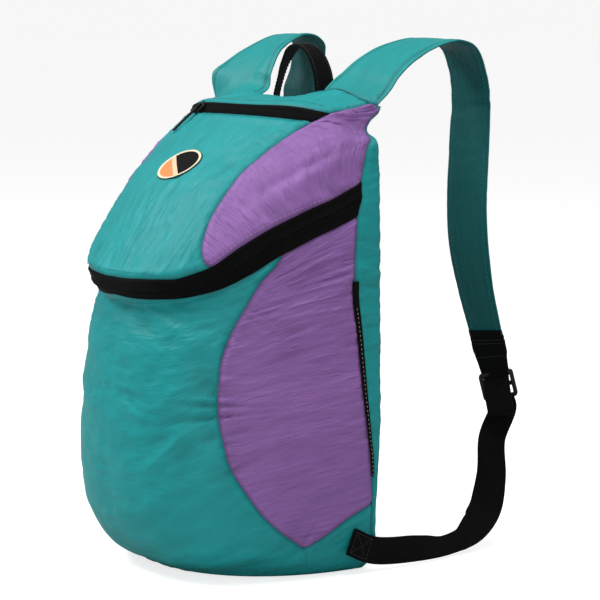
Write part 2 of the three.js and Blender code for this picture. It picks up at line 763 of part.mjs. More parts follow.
function strapEndTab(sideways) {
  const end = strapEnd(sideways);
  const rows = [
    { along: strapGap, half: end.half * 0.98, yaw: 8 },
    { along: tabDrop * 0.35, half: end.half * 0.94, yaw: 14 },
    { along: tabDrop * 0.7, half: end.half * 0.72, yaw: 28 },
    { along: tabDrop, half: webWidth / 2, yaw: lockYaw },
  ];
  const stations = rows.map(({ along, half, yaw }) => ({
    center: end.center.clone().addScaledVector(end.path, along),
    across: acrossBy(yaw, 0),
    half,
  }));
  return tape(stations, strapThickness * 0.9);
}

function roundedBox(shape, width, height, radius) {
  const [x, y] = [width / 2, height / 2];
  const turn = [[x, -y + radius, x, y - radius, x, y], [x - radius, y, -x + radius, y, -x, y],
    [-x, y - radius, -x, -y + radius, -x, -y], [-x + radius, -y, x - radius, -y, x, -y]];
  const exits = [[x - radius, y], [-x, y - radius], [-x + radius, -y], [x, -y + radius]];
  shape.moveTo(x, -y + radius);
  turn.forEach(([, , toX, toY, cornerX, cornerY], i) => {
    shape.lineTo(toX, toY);
    shape.quadraticCurveTo(cornerX, cornerY, exits[i][0], exits[i][1]);
  });
  return shape;
}

// The adjuster is a moulded frame with two slots for the webbing
function ladderLock(sideways) {
  const shape = roundedBox(new THREE.Shape(), lockWidth, lockHeight, lockCornerRadius);
  const slotHeight = (lockHeight - 3 * lockBar) / 2;
  for (const side of [-1, 1]) {
    const y = (side * (slotHeight + lockBar)) / 2;
    const x = lockWidth / 2 - lockBar;
    const slot = new THREE.Path();
    slot.moveTo(-x, y - slotHeight / 2);
    slot.lineTo(-x, y + slotHeight / 2);
    slot.lineTo(x, y + slotHeight / 2);
    slot.lineTo(x, y - slotHeight / 2);
    slot.closePath();
    shape.holes.push(slot);
  }
  const geometry = new THREE.ExtrudeGeometry(shape, {
    depth: lockThickness, bevelEnabled: false, curveSegments: 4,
  });
  geometry.translate(0, 0, -lockThickness / 2);
  const frame = lockFrame(sideways);
  const basis = new THREE.Matrix4().makeBasis(frame.side, frame.path, frame.normal);
  return geometry.applyMatrix4(basis.setPosition(frame.center));
}

function webPoint(row, sideways) {
  return new THREE.Vector3(
    sideways.spread * strapSpread + row.out,
    row.back * strapReach * sideways.reach,
    row.up * webDrop,
  );
}

// The webbing starts behind the adjuster's lower bar and ends sewn flat on the bag's lower corner
const webCorner = { level: 1.35, turn: 0.985, yaw: 80 };
const webPatch = { level: 1.55, turn: 0.9, yaw: 88, rise: 12 };
const webPlay = 0.7;
const webSteps = 26;

function lowerWebbing(sideways) {
  const frame = lockFrame(sideways);
  const below = frame.center.clone().addScaledVector(frame.path, lockHeight / 2 + webGap);
  const lead = below.clone().addScaledVector(frame.path, webLead);
  const off = webThickness / 2 + strapGap + webPlay;
  const onBag = ({ level, turn }, z) => {
    const seat = form(level, sideways.side * turn);
    seat.addScaledVector(formNormal(level, sideways.side * turn), off);
    return new THREE.Vector3(Math.abs(seat.x), seat.y, z);
  };
  const low = webPoint(WEB_LINE[WEB_LINE.length - 1], sideways).z;
  const places = [
    [below, lockYaw, 0],
    [lead, lockYaw, 0],
    ...WEB_LINE.slice(0, -1).map((row) => [webPoint(row, sideways), row.yaw, row.roll]),
    [onBag(webCorner, low), webCorner.yaw, WEB_LINE[WEB_LINE.length - 1].roll],
    [onBag(webPatch, low + webPatch.rise), webPatch.yaw, WEB_LINE[WEB_LINE.length - 1].roll],
  ];
  const rows = places.map(([point, yaw, roll]) => ({ point, yaw, roll, width: 1 }));
  const stations = alongLine(rows, (row) => row.point, webSteps).map((station) => ({
    ...station,
    half: webWidth / 2,
  }));
  stations[0].leaving = frame.path;
  return tape(stations, webThickness);
}

// The loose end comes up in front of the adjuster and curls away from it, down along the webbing.
// down: share of the tail's length, away: share of its reach.
const TAIL_LINE = [
  { down: 0, away: 0 },
  { down: 0.3, away: 0.5 },
  { down: 0.62, away: 0.9 },
  { down: 0.9, away: 1 },
  { down: 1, away: 0.75 },
];
const tailStart = 0.3;

function webbingTail(sideways) {
  const frame = lockFrame(sideways);
  const out = lockThickness / 2 + strapGap + webThickness / 2;
  const stations = TAIL_LINE.map(({ down, away }) => ({
    center: frame.center.clone()
      .addScaledVector(frame.path, down * tailLength - lockHeight * tailStart)
      .addScaledVector(frame.normal, -out - away * tailReach),
    across: frame.side,
    half: webWidth / 2,
  }));
  return tape(stations, webThickness);
}

const haulSteps = 22;

function haulLoop() {
  const rows = HAUL_LINE.map((row) => ({ ...row, width: 1, roll: 0, yaw: 90 + row.yaw }));
  const seam = ridgeAt(0);
  const toPoint = (row) => new THREE.Vector3(
    row.side * haulSpan,
    seam.y + haulWidth / 2 + seamGap + haulSeat,
    seam.z + row.up * haulRise,
  );
  const stations = alongLine(rows, toPoint, haulSteps).map((station) => ({
    ...station,
    half: haulWidth / 2,
  }));
  return tape(stations, haulThickness);
}

// A thin oval patch that lies on the lid's curve: rings of points round its middle
const badgeSeat = { level: 8.68, turn: -0.03, tilt: 12 };
const badgeRings = 3;
const badgeSides = 28;

function badge() {
  const { level, turn, tilt } = badgeSeat;
  const step = 0.05;
  const perLevel = form(level + step, turn).distanceTo(form(level - step, turn)) / (2 * step);
  const perTurn = form(level, turn + step).distanceTo(form(level, turn - step)) / (2 * step);
  const [cos, sin] = [Math.cos(degrees(tilt)), Math.sin(degrees(tilt))];
  const rings = spread(0, 1, badgeRings).reverse().map((radius) =>
    spread(0, 2 * Math.PI, badgeSides).map((angle) => {
      const long = (radius * badgeLength * Math.cos(angle)) / 2;
      const short = (radius * badgeWidth * Math.sin(angle)) / 2;
      const across = long * cos - short * sin;
      const upward = long * sin + short * cos;
      return entry(level + upward / perLevel, turn + across / perTurn);
    }));
  return wall([rings], badgeThickness, () => 0, badgeThickness + seamGap);
}

// Slider body with its pull hanging down over the lid, near the left end of the top zip.
// along: distance down from the slider's top edge, share of the slider with its pull.
const sliderSeat = { level: 10.55, turn: -0.27 };
const pullToward = { level: 9.5, turn: -0.35 };
const SLIDER_LINE = [
  { part: 'top', along: 0, wide: 1 },
  { part: 'body', along: 0.3, wide: 1 },
  { part: 'neck', along: 0.36, wide: 0.6 },
  { part: 'pull', along: 0.68, wide: 0.6 },
  { part: 'tip', along: 1, wide: 0.5 },
];

function topZipSlider() {
  const fromTop = pullToward.level - sliderSeat.level;
  const across = pullToward.turn - sliderSeat.turn;
  const onLid = (s) => ({ level: sliderSeat.level + fromTop * s, turn: sliderSeat.turn + across * s });
  const at = (s) => form(onLid(s).level, onLid(s).turn);
  const whole = sliderLength + pullLength;
  const perShare = at(1).distanceTo(at(0));
  const stations = SLIDER_LINE.map(({ along, wide }) => {
    const s = (along * whole) / perShare;
    const normal = formNormal(onLid(s).level, onLid(s).turn);
    const down = at(s + 0.05).sub(at(s - 0.05)).normalize();
    return {
      center: at(s).addScaledVector(normal, sliderLift + sliderHeight / 2),
      across: down.cross(normal),
      half: (wide * sliderWidth) / 2,
    };
  });
  return tape(stations, sliderHeight);
}

// Black tape laid over the seam between the side panel and the gusset, wider towards its top
const tapeSpan = { low: 2.3, high: 4.3, narrow: 0.35, full: 3.925, steps: 12 };

function sideTape(side) {
  const { low, high, narrow, full, steps } = tapeSpan;
  const stations = spread(low, high, steps).map((level) => {
    const turn = side * gussetSeam(level);
    const normal = formNormal(level, turn);
    const lift = seamGap + sideTapeThickness / 2;
    const up = form(level + 0.1, turn).sub(form(level - 0.1, turn)).normalize();
    const wide = Math.min(1, narrow + ((1 - narrow) * (level - low)) / (full - low));
    return {
      center: form(level, turn).addScaledVector(normal, lift),
      across: normal.clone().cross(up),
      half: (sideTapeWidth * wide) / 2,
    };
  });
  return tape(stations, sideTapeThickness);
}

const bag = new THREE.Group();
bag.position.y = baseDepth / 2;

function place(name, geometry, material) {
  const mesh = new THREE.Mesh(geometry, material);
  mesh.name = name;
  bag.add(mesh);
}

function placePair(name, right, left, material) {
  place(`${name}_right`, right, material);
  place(`${name}_left`, left, material.clone());
}

place('bottom_panel', bottomPanel(), look(COLORS.tealDark, 0.6));
place('lower_front_panel', lowerFront(), look(COLORS.teal, 0.5));
place('main_zip_band', zipBand(), look(COLORS.black, 0.7));
place('lid_panel', between(lidLevels, lidColumns, clothThickness), look(COLORS.teal, 0.5));
place('top_zip_band', between(topLevels, lidColumns, tapeThickness), look(COLORS.black, 0.7));
place('yoke_panel', between(yokeLevels, lidColumns, clothThickness), look(COLORS.teal, 0.5));
place('back_panel', backPanel(), look(COLORS.teal, 0.5));
place('badge', badge(), look(COLORS.cream, 0.6));
place('top_zip_slider', topZipSlider(), look(COLORS.black, 0.4));
place('haul_loop', haulLoop(), look(COLORS.black, 0.8));

const unturned = (grid) => grid;
placePair('lower_side_panel', lowerSide(unturned), lowerSide(mirrored), look(COLORS.violet, 0.5));
placePair('lid_side_panel', lidSide(unturned), lidSide(mirrored), look(COLORS.violet, 0.5));
placePair('side_tape', sideTape(1), sideTape(-1), look(COLORS.black, 0.7));

const strapPieces = [
  ['shoulder_strap', shoulderStrap, look(COLORS.tealDark, 0.55)],
  ['strap_end_tab', strapEndTab, look(COLORS.black, 0.8)],
  ['ladder_lock', ladderLock, look(COLORS.black, 0.4)],
  ['lower_webbing', lowerWebbing, look(COLORS.black, 0.8)],
  ['webbing_tail', webbingTail, look(COLORS.black, 0.8)],
];
for (const [name, make, material] of strapPieces) {
  placePair(name, make(STRAP_SIDES.right), mirrorGeometry(make(STRAP_SIDES.left)), material);
}

export default bag;
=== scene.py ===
"""A light packable backpack in crinkled nylon: teal panels, violet sides, black zips and webbing.

The panels are cut from one lofted form, wrinkled by a cloth simulation and gathered at their
seams. Everything is in metres: X is the width, the front looks along -Y, Z is up.
"""
import math

import bpy
import numpy as np
from mathutils import Matrix, Vector


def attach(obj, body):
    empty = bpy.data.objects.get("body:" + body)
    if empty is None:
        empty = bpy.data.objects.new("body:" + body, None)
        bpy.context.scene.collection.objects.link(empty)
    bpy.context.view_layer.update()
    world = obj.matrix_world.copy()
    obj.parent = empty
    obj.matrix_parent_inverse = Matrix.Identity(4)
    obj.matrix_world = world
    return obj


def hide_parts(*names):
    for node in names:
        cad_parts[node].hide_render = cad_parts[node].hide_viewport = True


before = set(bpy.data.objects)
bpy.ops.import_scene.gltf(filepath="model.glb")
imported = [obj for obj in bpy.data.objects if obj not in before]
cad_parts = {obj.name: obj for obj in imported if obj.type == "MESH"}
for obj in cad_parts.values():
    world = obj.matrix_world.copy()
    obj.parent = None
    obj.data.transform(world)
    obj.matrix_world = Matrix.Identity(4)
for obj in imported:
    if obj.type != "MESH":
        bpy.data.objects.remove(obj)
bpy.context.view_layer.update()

# Sizes of the packed-out bag
bag_height = 0.422
bag_width = 0.288
bag_depth = 0.198
base_depth = 0.140
back_crown = 0.007

# The right strap stands taut and draws the top corner backwards and up
corner_pull = 0.014
foot_peak = 0.013
foot_peak_place = 0.58
foot_peak_spread = 0.3
slack_share = 0.1

# Cloth and sewing
cloth_thickness = 0.0006
tape_thickness = 0.0009
stitch_pitch = 0.0042
stitch_length = 0.0027
thread_radius = 0.00028

# Straps, webbing and fittings
strap_width = 0.056
strap_thickness = 0.0025
strap_rise = 0.042
strap_reach = 0.139
strap_drop = 0.231
strap_spread = 0.089
strap_gap = 0.0004
foot_length = 0.020
twist_reach = 0.8
tab_drop = 0.036
tab_thickness = 0.0048
web_width = 0.025
web_thickness = 0.0016
web_drop = 0.146
web_gap = 0.0005
web_lead = 0.008
web_play = 0.0007
lock_height = 0.027
lock_thickness = 0.004
lock_yaw = 42
tail_reach = 0.014
tail_length = 0.034
tail_start = 0.3
haul_span = 0.084
haul_rise = 0.048
haul_width = 0.020
haul_thickness = 0.002
haul_seat = 0.003
seam_gap = 0.0004
badge_length = 0.055
badge_width = 0.038
slider_length = 0.013
slider_width = 0.009
pull_length = 0.026
side_tape_width = 0.006

# How finely cloth is meshed: for the simulation, and finished
trial_spacing = 0.0055
fine_spacing = 0.0015
broad_spacing = 0.0020

# Level sections of the bag, each a D in a plane that may slope from back to front. back and
# front: shares of the height. width and depth: shares of half the width and of the depth.
# square: 2 is an ellipse. pull: share of the corner pull. arch: how far the back panel's line
# follows the section's rise. peak: share of the foot's peak.
SECTIONS = [
    # name, back, front, width, depth, square, pull, arch, peak
    ("base", 0, 0, 0.795, base_depth / bag_depth, 2.15, 0, 0, 0),
    ("heel", 0.045, 0.049, 0.885, 0.885, 2.4, 0.3, 0, 0),
    ("low", 0.162, 0.156, 0.945, 0.987, 2.5, 0, 0, 0),
    ("belly", 0.36, 0.334, 1, 1, 2.4, 0, 0, 0),
    ("waist", 0.595, 0.476, 0.993, 0.965, 2.4, 0, 0, 0),
    ("under_band", 0.756, 0.571, 0.986, 0.904, 2.3, 0, 0, 0),
    ("band_low", 0.796, 0.582, 0.979, 0.919, 2.3, 0, 0, 0),
    ("band_top", 0.862, 0.626, 0.972, 0.975, 2.3, 0, 0, 0),
    ("lid_low", 0.898, 0.784, 0.965, 0.753, 2.3, 0, 0, 0),
    ("lid_high", 0.922, 0.893, 0.937, 0.515, 2.3, -0.1, 0, 0),
    ("zip_low", 0.939, 0.969, 0.875, 0.323, 2.3, -0.3, 0.25, 0),
    ("zip_top", 0.953, 0.99, 0.868, 0.283, 2.3, -0.1, 0.5, 0.2),
    ("top", 0.968, 0.999, 0.861, 0.08, 2.3, 0.6, 0.8, 0.75),
    ("ridge", 0.979, 1, 0.847, 0.003, 2.3, 1, 1, 1),
]
BAND_LOW, BAND_TOP, ZIP_LOW, ZIP_TOP, RIDGE = 6, 7, 10, 11, 13

# Seam lines over the form, as level and turn
FRONT_SEAM = [
    (1.28, 0.742), (1.7, 0.667), (2.18, 0.59), (2.66, 0.515), (3.28, 0.484),
    (3.7, 0.484), (4.1, 0.503), (4.64, 0.555), (5.3, 0.612), (6, 0.662),
]
GUSSET_SEAM = [
    (0, 0.982), (1.92, 0.982), (2.4, 0.968), (2.9, 0.943), (3.64, 0.916), (4.2, 0.897),
    (4.84, 0.9), (6, 0.907), (6.6, 0.926), (7, 0.928), (8.4, 0.93), (9.4, 0.97),
    (10, 0.98), (13, 0.982),
]
HEM_SEAM = [(0.742, 1.28), (0.802, 1.44), (0.9, 1.74), (0.982, 1.92)]
WING_SEAM = [
    (7, 0.458), (7.34, 0.42), (7.6, 0.386), (7.9, 0.365), (8.5, 0.366), (9, 0.4),
    (9.5, 0.47), (10, 0.54), (11, 0.622), (12, 0.68), (13, 0.72),
]

# Broad soft folds. along and around: their reach in level and turn, slant in levels per turn,
# depth as a share of the bag's depth, negative for a rib.
FOLDS = [
    # level, turn, along, around, slant, depth
    (5.3, 0, 0.42, 0.5, 0.6, 0.014),
    (2.6, 0.1, 0.6, 0.6, 0, -0.012),
    (3.9, 0.4, 0.16, 0.1, 0.5, 0.011),
    (3.1, 0.38, 0.16, 0.12, 0.5, 0.012),
    (4.5, 0.74, 0.16, 0.13, 0.4, 0.01),
    (3.6, 0.7, 0.17, 0.15, 0.3, 0.009),
    (2.6, 0.76, 0.2, 0.12, 0.3, 0.01),
    (7.6, 0.16, 0.3, 0.12, 2, 0.012),
    (8.9, 0.24, 0.35, 0.16, 0, 0.01),
    (8.3, 0.62, 0.3, 0.14, 2.5, 0.014),
    (10.6, 0.8, 0.8, 0.08, 2, 0.014),
    (3.2, 1.9, 1.3, 0.5, 0, 0.025),
    (5.2, 1.5, 0.4, 0.3, 0.8, 0.012),
]

SIDES = ((1, "right"), (-1, "left"))


class Smooth:
    """A monotone cubic curve through a table's points, so that its values are never overshot."""

    def __init__(self, xs, ys):
        self.xs, self.ys = np.array(xs, float), np.array(ys, float)
        self.step = np.diff(self.xs)
        slope = np.diff(self.ys) / self.step
        tangent = np.zeros(len(self.xs))
        tangent[0], tangent[-1] = slope[0], slope[-1]
        for i in range(1, len(self.xs) - 1):
            before, after = slope[i - 1], slope[i]
            if before * after > 0:
                w1 = 2 * self.step[i] + self.step[i - 1]
                w2 = self.step[i] + 2 * self.step[i - 1]
                tangent[i] = (w1 + w2) / (w1 / before + w2 / after)
        self.tangent = tangent

    def __call__(self, x):
        x = np.asarray(x, float)
        i = np.clip(np.searchsorted(self.xs, x, side="right") - 1, 0, len(self.xs) - 2)
        h = self.step[i]
        t = np.clip((x - self.xs[i]) / h, 0, 1)
        t2, t3 = t * t, t * t * t
        rise = (2 * t3 - 3 * t2 + 1) * self.ys[i] + (-2 * t3 + 3 * t2) * self.ys[i + 1]
        bend = (t3 - 2 * t2 + t) * self.tangent[i] + (t3 - t2) * self.tangent[i + 1]
        return rise + h * bend


def section_curve(column):
    return Smooth(range(len(SECTIONS)), [row[column] for row in SECTIONS])


back_at, front_at, width_at, depth_at, square_at, pull_at, arch_at, peak_at = (
    section_curve(column) for column in range(1, 9)
)
front_seam = Smooth(*zip(*FRONT_SEAM))
gusset_seam = Smooth(*zip(*GUSSET_SEAM))
hem_seam = Smooth(*zip(*HEM_SEAM))
wing_seam = Smooth(*zip(*WING_SEAM))
left_wing_shift = Smooth((7, 8, 9.6, 10.4, 12, 13), (0, 0.07, 0.12, 0.04, -0.08, -0.12))


def unit(v):
    return v / np.maximum(np.linalg.norm(v, axis=-1, keepdims=True), 1e-12)


def runs(points):
    """How far along a line of points each of them lies."""
    return np.concatenate([[0], np.cumsum(np.linalg.norm(np.diff(points, axis=0), axis=1))])


def tautness(across):
    return slack_share + (1 - slack_share) * (1 + across) / 2


def foot_lift(across):
    off = (np.abs(across) - foot_peak_place) / foot_peak_spread
    return foot_peak * tautness(across) * np.exp(-off * off)


# The zip band isn't straight: its two edges stray from their levels along the turn
BAND_LOW_STRAY = [
    (0, 0.46), (0.15, 0.28), (0.25, 0.12), (0.35, -0.17), (0.45, -0.36), (0.55, -0.05),
    (0.65, 0.2), (0.75, 0.18), (0.85, 0.05), (0.91, 0), (2, 0),
]
BAND_TOP_STRAY = [
    (0, 0.12), (0.15, 0.1), (0.25, 0.03), (0.35, -0.13), (0.45, -0.12), (0.55, 0.13),
    (0.65, 0.23), (0.75, 0.19), (0.85, 0.04), (0.93, 0), (2, 0),
]
low_stray = Smooth(*zip(*BAND_LOW_STRAY))
top_stray = Smooth(*zip(*BAND_TOP_STRAY))


def hump(level, low, top, high):
    """1 at top, and smoothly 0 at low and high."""
    rise = np.clip((level - low) / (top - low), 0, 1)
    fall = np.clip((high - level) / (high - top), 0, 1)
    share = np.minimum(rise, fall)
    return share * share * (3 - 2 * share)


def stray(level, turn):
    reach = np.abs(turn)
    low = hump(level, 4.4, BAND_LOW, BAND_TOP) * low_stray(reach)
    return level + low + hump(level, BAND_LOW, BAND_TOP, 8.6) * top_stray(reach)


def smooth_form(level, turn):
    """The bag's smooth outer form. |turn| up to 1 is the D's curve from the front to the back
    corner, and from 1 to 2 it crosses the back panel to its middle."""
    level, turn = np.broadcast_arrays(np.asarray(level, float), np.asarray(turn, float))
    level = stray(level, turn)
    side, reach = np.where(turn < 0, -1.0, 1.0), np.abs(turn)
    half, n = width_at(level) * bag_width / 2, square_at(level)
    back = back_at(level) * bag_height
    rise = front_at(level) * bag_height - back
    angle = np.minimum(reach, 1) * math.pi / 2
    sin, cos = np.abs(np.sin(angle)), np.abs(np.cos(angle))
    r = (sin ** n + cos ** n) ** (-1 / n)
    across = side * np.where(reach <= 1, r * sin, np.clip(2 - reach, 0, 1))
    pull = pull_at(level) * corner_pull * tautness(across)
    forward = r * cos
    rim = np.maximum(1 - np.abs(across) ** n, 0) ** (1 / n) * arch_at(level)
    crown = back_crown * (1 - across ** 2) * np.sin(math.pi * level / RIDGE)
    y_front = pull - forward * (depth_at(level) * bag_depth + pull)
    y_back = pull - rim * (SECTIONS[RIDGE][4] * bag_depth + pull) + crown
    z_lift = back + peak_at(level) * foot_lift(across)
    on_back = reach > 1
    y = np.where(on_back, y_back, y_front) + base_depth / 2
    z = z_lift + rise * np.where(on_back, rim, forward)
    return np.stack([across * half, y, z], axis=-1)


def form_normal(level, turn):
    reach = 0.02
    level = np.clip(np.asarray(level, float), reach, RIDGE - reach)
    up = smooth_form(level + reach, turn) - smooth_form(level - reach, turn)
    around = smooth_form(level, turn + reach) - smooth_form(level, turn - reach)
    return unit(np.cross(around, up))


def form(level, turn):
    level, turn = np.broadcast_arrays(np.asarray(level, float), np.asarray(turn, float))
    edge = np.minimum(np.minimum(level, RIDGE - level), 1)
    sunk = np.zeros(level.shape)
    for at, middle, along, around, slant, depth in FOLDS:
        across = (np.abs(turn) - middle) / around
        up = (level - at - slant * (np.abs(turn) - middle)) / along
        sunk += depth * bag_depth * edge * np.exp(-across * across - up * up)
    return smooth_form(level, turn) - sunk[..., None] * form_normal(level, turn)


# Chance that is the same in each run
def table_of_chance(seed, count=4096):
    return np.random.default_rng(seed).random(count) * 2 - 1


def ease(t):
    return t * t * (3 - 2 * t)


def ripple(x, seed):
    """Smooth chance along a line, from -1 to 1, with one value for each unit of x."""
    values = table_of_chance(seed)
    cell = np.floor(x).astype(int)
    t = ease(x - cell)
    return values[cell % 4096] * (1 - t) + values[(cell + 1) % 4096] * t


def cloud(x, y, seed):
    """Smooth chance over a plane, from -1 to 1, with one value for each unit square."""
    values = table_of_chance(seed, 65536)
    cx, cy = np.floor(x).astype(int), np.floor(y).astype(int)
    tx, ty = ease(x - cx), ease(y - cy)

    def at(dx, dy):
        return values[((cx + dx) * 73 + (cy + dy) * 15731) % 65536]

    low = at(0, 0) * (1 - tx) + at(1, 0) * tx
    high = at(0, 1) * (1 - tx) + at(1, 1) * tx
    return low * (1 - ty) + high * ty


def creases(x, y, seed):
    """Long sharp-crested wrinkles that run along x, from 0 to 1, crowded in some places and
    calm in others."""
    bent = y + 0.9 * cloud(x * 0.5, y * 0.25, seed + 1)
    first = 1 - np.abs(cloud(x, bent, seed + 2)) * 1.9
    second = 1 - np.abs(cloud(x * 1.7, bent * 1.9 + 40, seed + 3)) * 1.9
    crowd = 0.55 + 0.6 * cloud(x * 0.45 + 9, y * 0.16 + 5, seed + 4)
    crest = np.clip(0.62 * np.maximum(first, -0.6) + 0.38 * np.maximum(second, -0.6), -0.6, 1)
    return 0.5 + (crest - 0.1) * np.clip(crowd, 0.12, 1.1)


# Panels: each is a patch of the form. up runs from 0 to 1 with the level, round with the turn.
def between(low, high, turn_at):
    def place(up, round_):
        level = low + (high - low) * up
        return level, turn_at(level, 2 * round_ - 1)
    return place


def band_turn(level, across):
    """The turn of a point of the main zip band; across runs from -1 to 1."""
    return across * gusset_seam(level)


def lid_turn(level, across):
    """The turn of a point of the lid, yoke or top zip; across runs from -1 to 1."""
    left = wing_seam(level) + left_wing_shift(level)
    return across * np.where(across < 0, left, wing_seam(level))


def front_place(up, round_):
    level = BAND_LOW * up
    edge = np.where(level < HEM_SEAM[0][1], HEM_SEAM[0][0], front_seam(level))
    return level, (2 * round_ - 1) * edge


def corner_place(side):
    def place(up, round_):
        share = round_ if side > 0 else 1 - round_
        turn = HEM_SEAM[0][0] + (HEM_SEAM[-1][0] - HEM_SEAM[0][0]) * share
        return hem_seam(turn) * up, side * turn
    return place


def side_place(side):
    def place(up, round_):
        share = round_ if side > 0 else 1 - round_
        hem_turn = HEM_SEAM[0][0] + (HEM_SEAM[-1][0] - HEM_SEAM[0][0]) * share
        low = hem_seam(hem_turn)
        level = low + (BAND_LOW - low) * up
        front_level = HEM_SEAM[0][1] + (BAND_LOW - HEM_SEAM[0][1]) * up
        back_level = HEM_SEAM[-1][1] + (BAND_LOW - HEM_SEAM[-1][1]) * up
        start, end = front_seam(front_level), gusset_seam(back_level)
        level = np.where(share <= 0, front_level, np.where(share >= 1, back_level, level))
        return level, side * (start + (end - start) * share)
    return place


def wing_place(side):
    def place(up, round_):
        share = round_ if side > 0 else 1 - round_
        level = BAND_TOP + (RIDGE - BAND_TOP) * up
        start = np.abs(lid_turn(level, side))
        return level, side * (start + (gusset_seam(level) - start) * share)
    return place


def back_place(up, round_):
    level = RIDGE * up
    gusset_share = 0.13
    from_middle = np.abs(2 * round_ - 1)
    flat = from_middle / (1 - gusset_share)
    bend = (from_middle - 1 + gusset_share) / gusset_share
    turn = np.where(flat < 1, 2 - flat, 1 - bend * (1 - gusset_seam(level)))
    return level, np.where(round_ <= 0.5, turn, -turn)


def both_sides(name, place, size, growth, seams, wrinkles):
    """The rows of a right and a left panel, which mirror each other."""
    *sizes, angle = wrinkles
    return [
        (f"{name}_{side}", place(way), size, growth, seams.replace("*", side), (*sizes, way * angle))
        for way, side in SIDES
    ]


# size: height and width. growth: how much longer the cloth is cut than its place, each way.
# wrinkles: length, spacing and height, and the angle at which they run, from round the bag
# towards up it.
PANELS = [
    # name, place, size, growth, seams round it, wrinkles
    ("front", front_place, (0.262, 0.40), (0.034, 0.020),
     "front_right front_left band_low bottom", (0.030, 0.0105, 0.0016, 0)),
    *both_sides("corner", corner_place, (0.075, 0.085), (0.025, 0.015),
                "hem_* gusset_* bottom", (0.022, 0.008, 0.0011, 0)),
    *both_sides("side", side_place, (0.235, 0.135), (0.065, 0.010),
                "front_* hem_* gusset_* band_low", (0.055, 0.0072, 0.0029, -7)),
    ("lid", between(BAND_TOP, ZIP_LOW, lid_turn), (0.185, 0.21), (0.018, 0.032),
     "wing_right wing_left band_top zip_low", (0.026, 0.0105, 0.0013, 90)),
    ("yoke", between(ZIP_TOP, RIDGE, lid_turn), (0.06, 0.22), (0.015, 0.030),
     "wing_right wing_left zip_top ridge", (0.020, 0.007, 0.0012, 90)),
    *both_sides("wing", wing_place, (0.14, 0.12), (0.012, 0.060),
                "wing_* gusset_* band_top ridge", (0.042, 0.0060, 0.0034, -46)),
    ("back", back_place, (0.415, 0.33), (0.040, 0.020),
     "gusset_right gusset_left ridge bottom", (0.030, 0.0100, 0.0016, 0)),
]
BANDS = [
    # name, CAD node, place, size, grid
    ("main_zip", "main_zip_band", between(BAND_LOW, BAND_TOP, band_turn), (0.030, 0.64), 0.0011),
    ("top_zip", "top_zip_band", between(ZIP_LOW, ZIP_TOP, lid_turn), (0.011, 0.24), 0.0009),
]


def quads(rows, count, closed=False, first=0):
    """Faces between rows of points. closed joins each row's last point to its first."""
    i, k = np.meshgrid(range(rows - 1), range(count if closed else count - 1), indexing="ij")
    a, b = first + i * count + k, first + i * count + (k + 1) % count
    return np.stack([a, b, b + count, a + count], -1).reshape(-1, 4)


class Patch:
    """A panel as a grid over the form, with its rows evenly spaced along each column."""

    def __init__(self, place, height, width, spacing):
        rows = max(4, math.ceil(height / spacing))
        columns = max(4, math.ceil(width / spacing))
        dense = np.linspace(0, 1, 160)
        round_ = np.linspace(0, 1, columns + 1)
        up_all, round_all = np.meshgrid(dense, round_, indexing="ij")
        trial = form(*place(up_all, round_all))
        run = np.linalg.norm(np.diff(trial, axis=0), axis=-1)
        reached = np.vstack([np.zeros(columns + 1), np.cumsum(run, axis=0)])
        up = np.stack(
            [np.interp(np.linspace(0, 1, rows + 1), reached[:, j] / reached[-1, j], dense)
             for j in range(columns + 1)], axis=1)
        self.level, self.turn = place(up, np.broadcast_to(round_, up.shape))
        self.points = form(self.level, self.turn)
        self.rows, self.columns = rows, columns
        self.run_up = self.length_along(0)
        self.run_round = self.length_along(1)

    def length_along(self, axis):
        """How far each point lies from the middle of the panel along one way of the grid."""
        run = np.linalg.norm(np.diff(self.points, axis=axis), axis=-1)
        total = np.cumsum(run, axis=axis)
        start = np.zeros_like(np.take(total, [0], axis=axis))
        total = np.concatenate([start, total], axis=axis)
        middle = total.shape[axis] // 2
        return total - np.take(total, [middle], axis=axis)

    def normals(self):
        up = np.gradient(self.points, axis=0)
        around = np.gradient(self.points, axis=1)
        return unit(np.cross(around, up))

    def faces(self, first=0):
        return quads(self.rows + 1, self.columns + 1, first=first)


def blend_matrix(coarse, fine):
    """Weights that carry values on a coarse row of points smoothly to a fine one."""
    place = np.linspace(0, coarse, fine + 1)
    cell = np.minimum(place.astype(int), coarse - 1)
    t = place - cell
    weights = np.zeros((fine + 1, coarse + 1))
    basis = [(1 - t) ** 3 / 6, (3 * t ** 3 - 6 * t ** 2 + 4) / 6,
             (-3 * t ** 3 + 3 * t ** 2 + 3 * t + 1) / 6, t ** 3 / 6]
    for offset, share in zip((-1, 0, 1, 2), basis):
        at = np.clip(cell + offset, 0, coarse)
        np.add.at(weights, (np.arange(fine + 1), at), share)
    return weights


def mesh_from(name, points, faces, uv=None):
    mesh = bpy.data.meshes.new(name)
    mesh.from_pydata(points.reshape(-1, 3).tolist(), [], [list(map(int, f)) for f in faces])
    if uv is not None:
        layer = mesh.uv_layers.new(name="weave")
        corners = np.zeros(len(mesh.loops), int)
        mesh.loops.foreach_get("vertex_index", corners)
        layer.data.foreach_set("uv", uv.reshape(-1, 2)[corners].astype(np.float32).ravel())
    mesh.update()
    thing = bpy.data.objects.new(name, mesh)
    bpy.context.scene.collection.objects.link(thing)
    return thing


def only(thing):
    bpy.ops.object.select_all(action="DESELECT")
    thing.select_set(True)
    bpy.context.view_layer.objects.active = thing


CLOTH_SETTINGS = dict(
    quality=4, mass=0.06, tension_stiffness=18, compression_stiffness=18, shear_stiffness=8,
    bending_stiffness=0.06, air_damping=2, vertex_group_mass="seams", pin_stiffness=0.9,
    use_pressure=True, uniform_pressure_force=0.25,
)
HOLD_INSIDE = 0.03


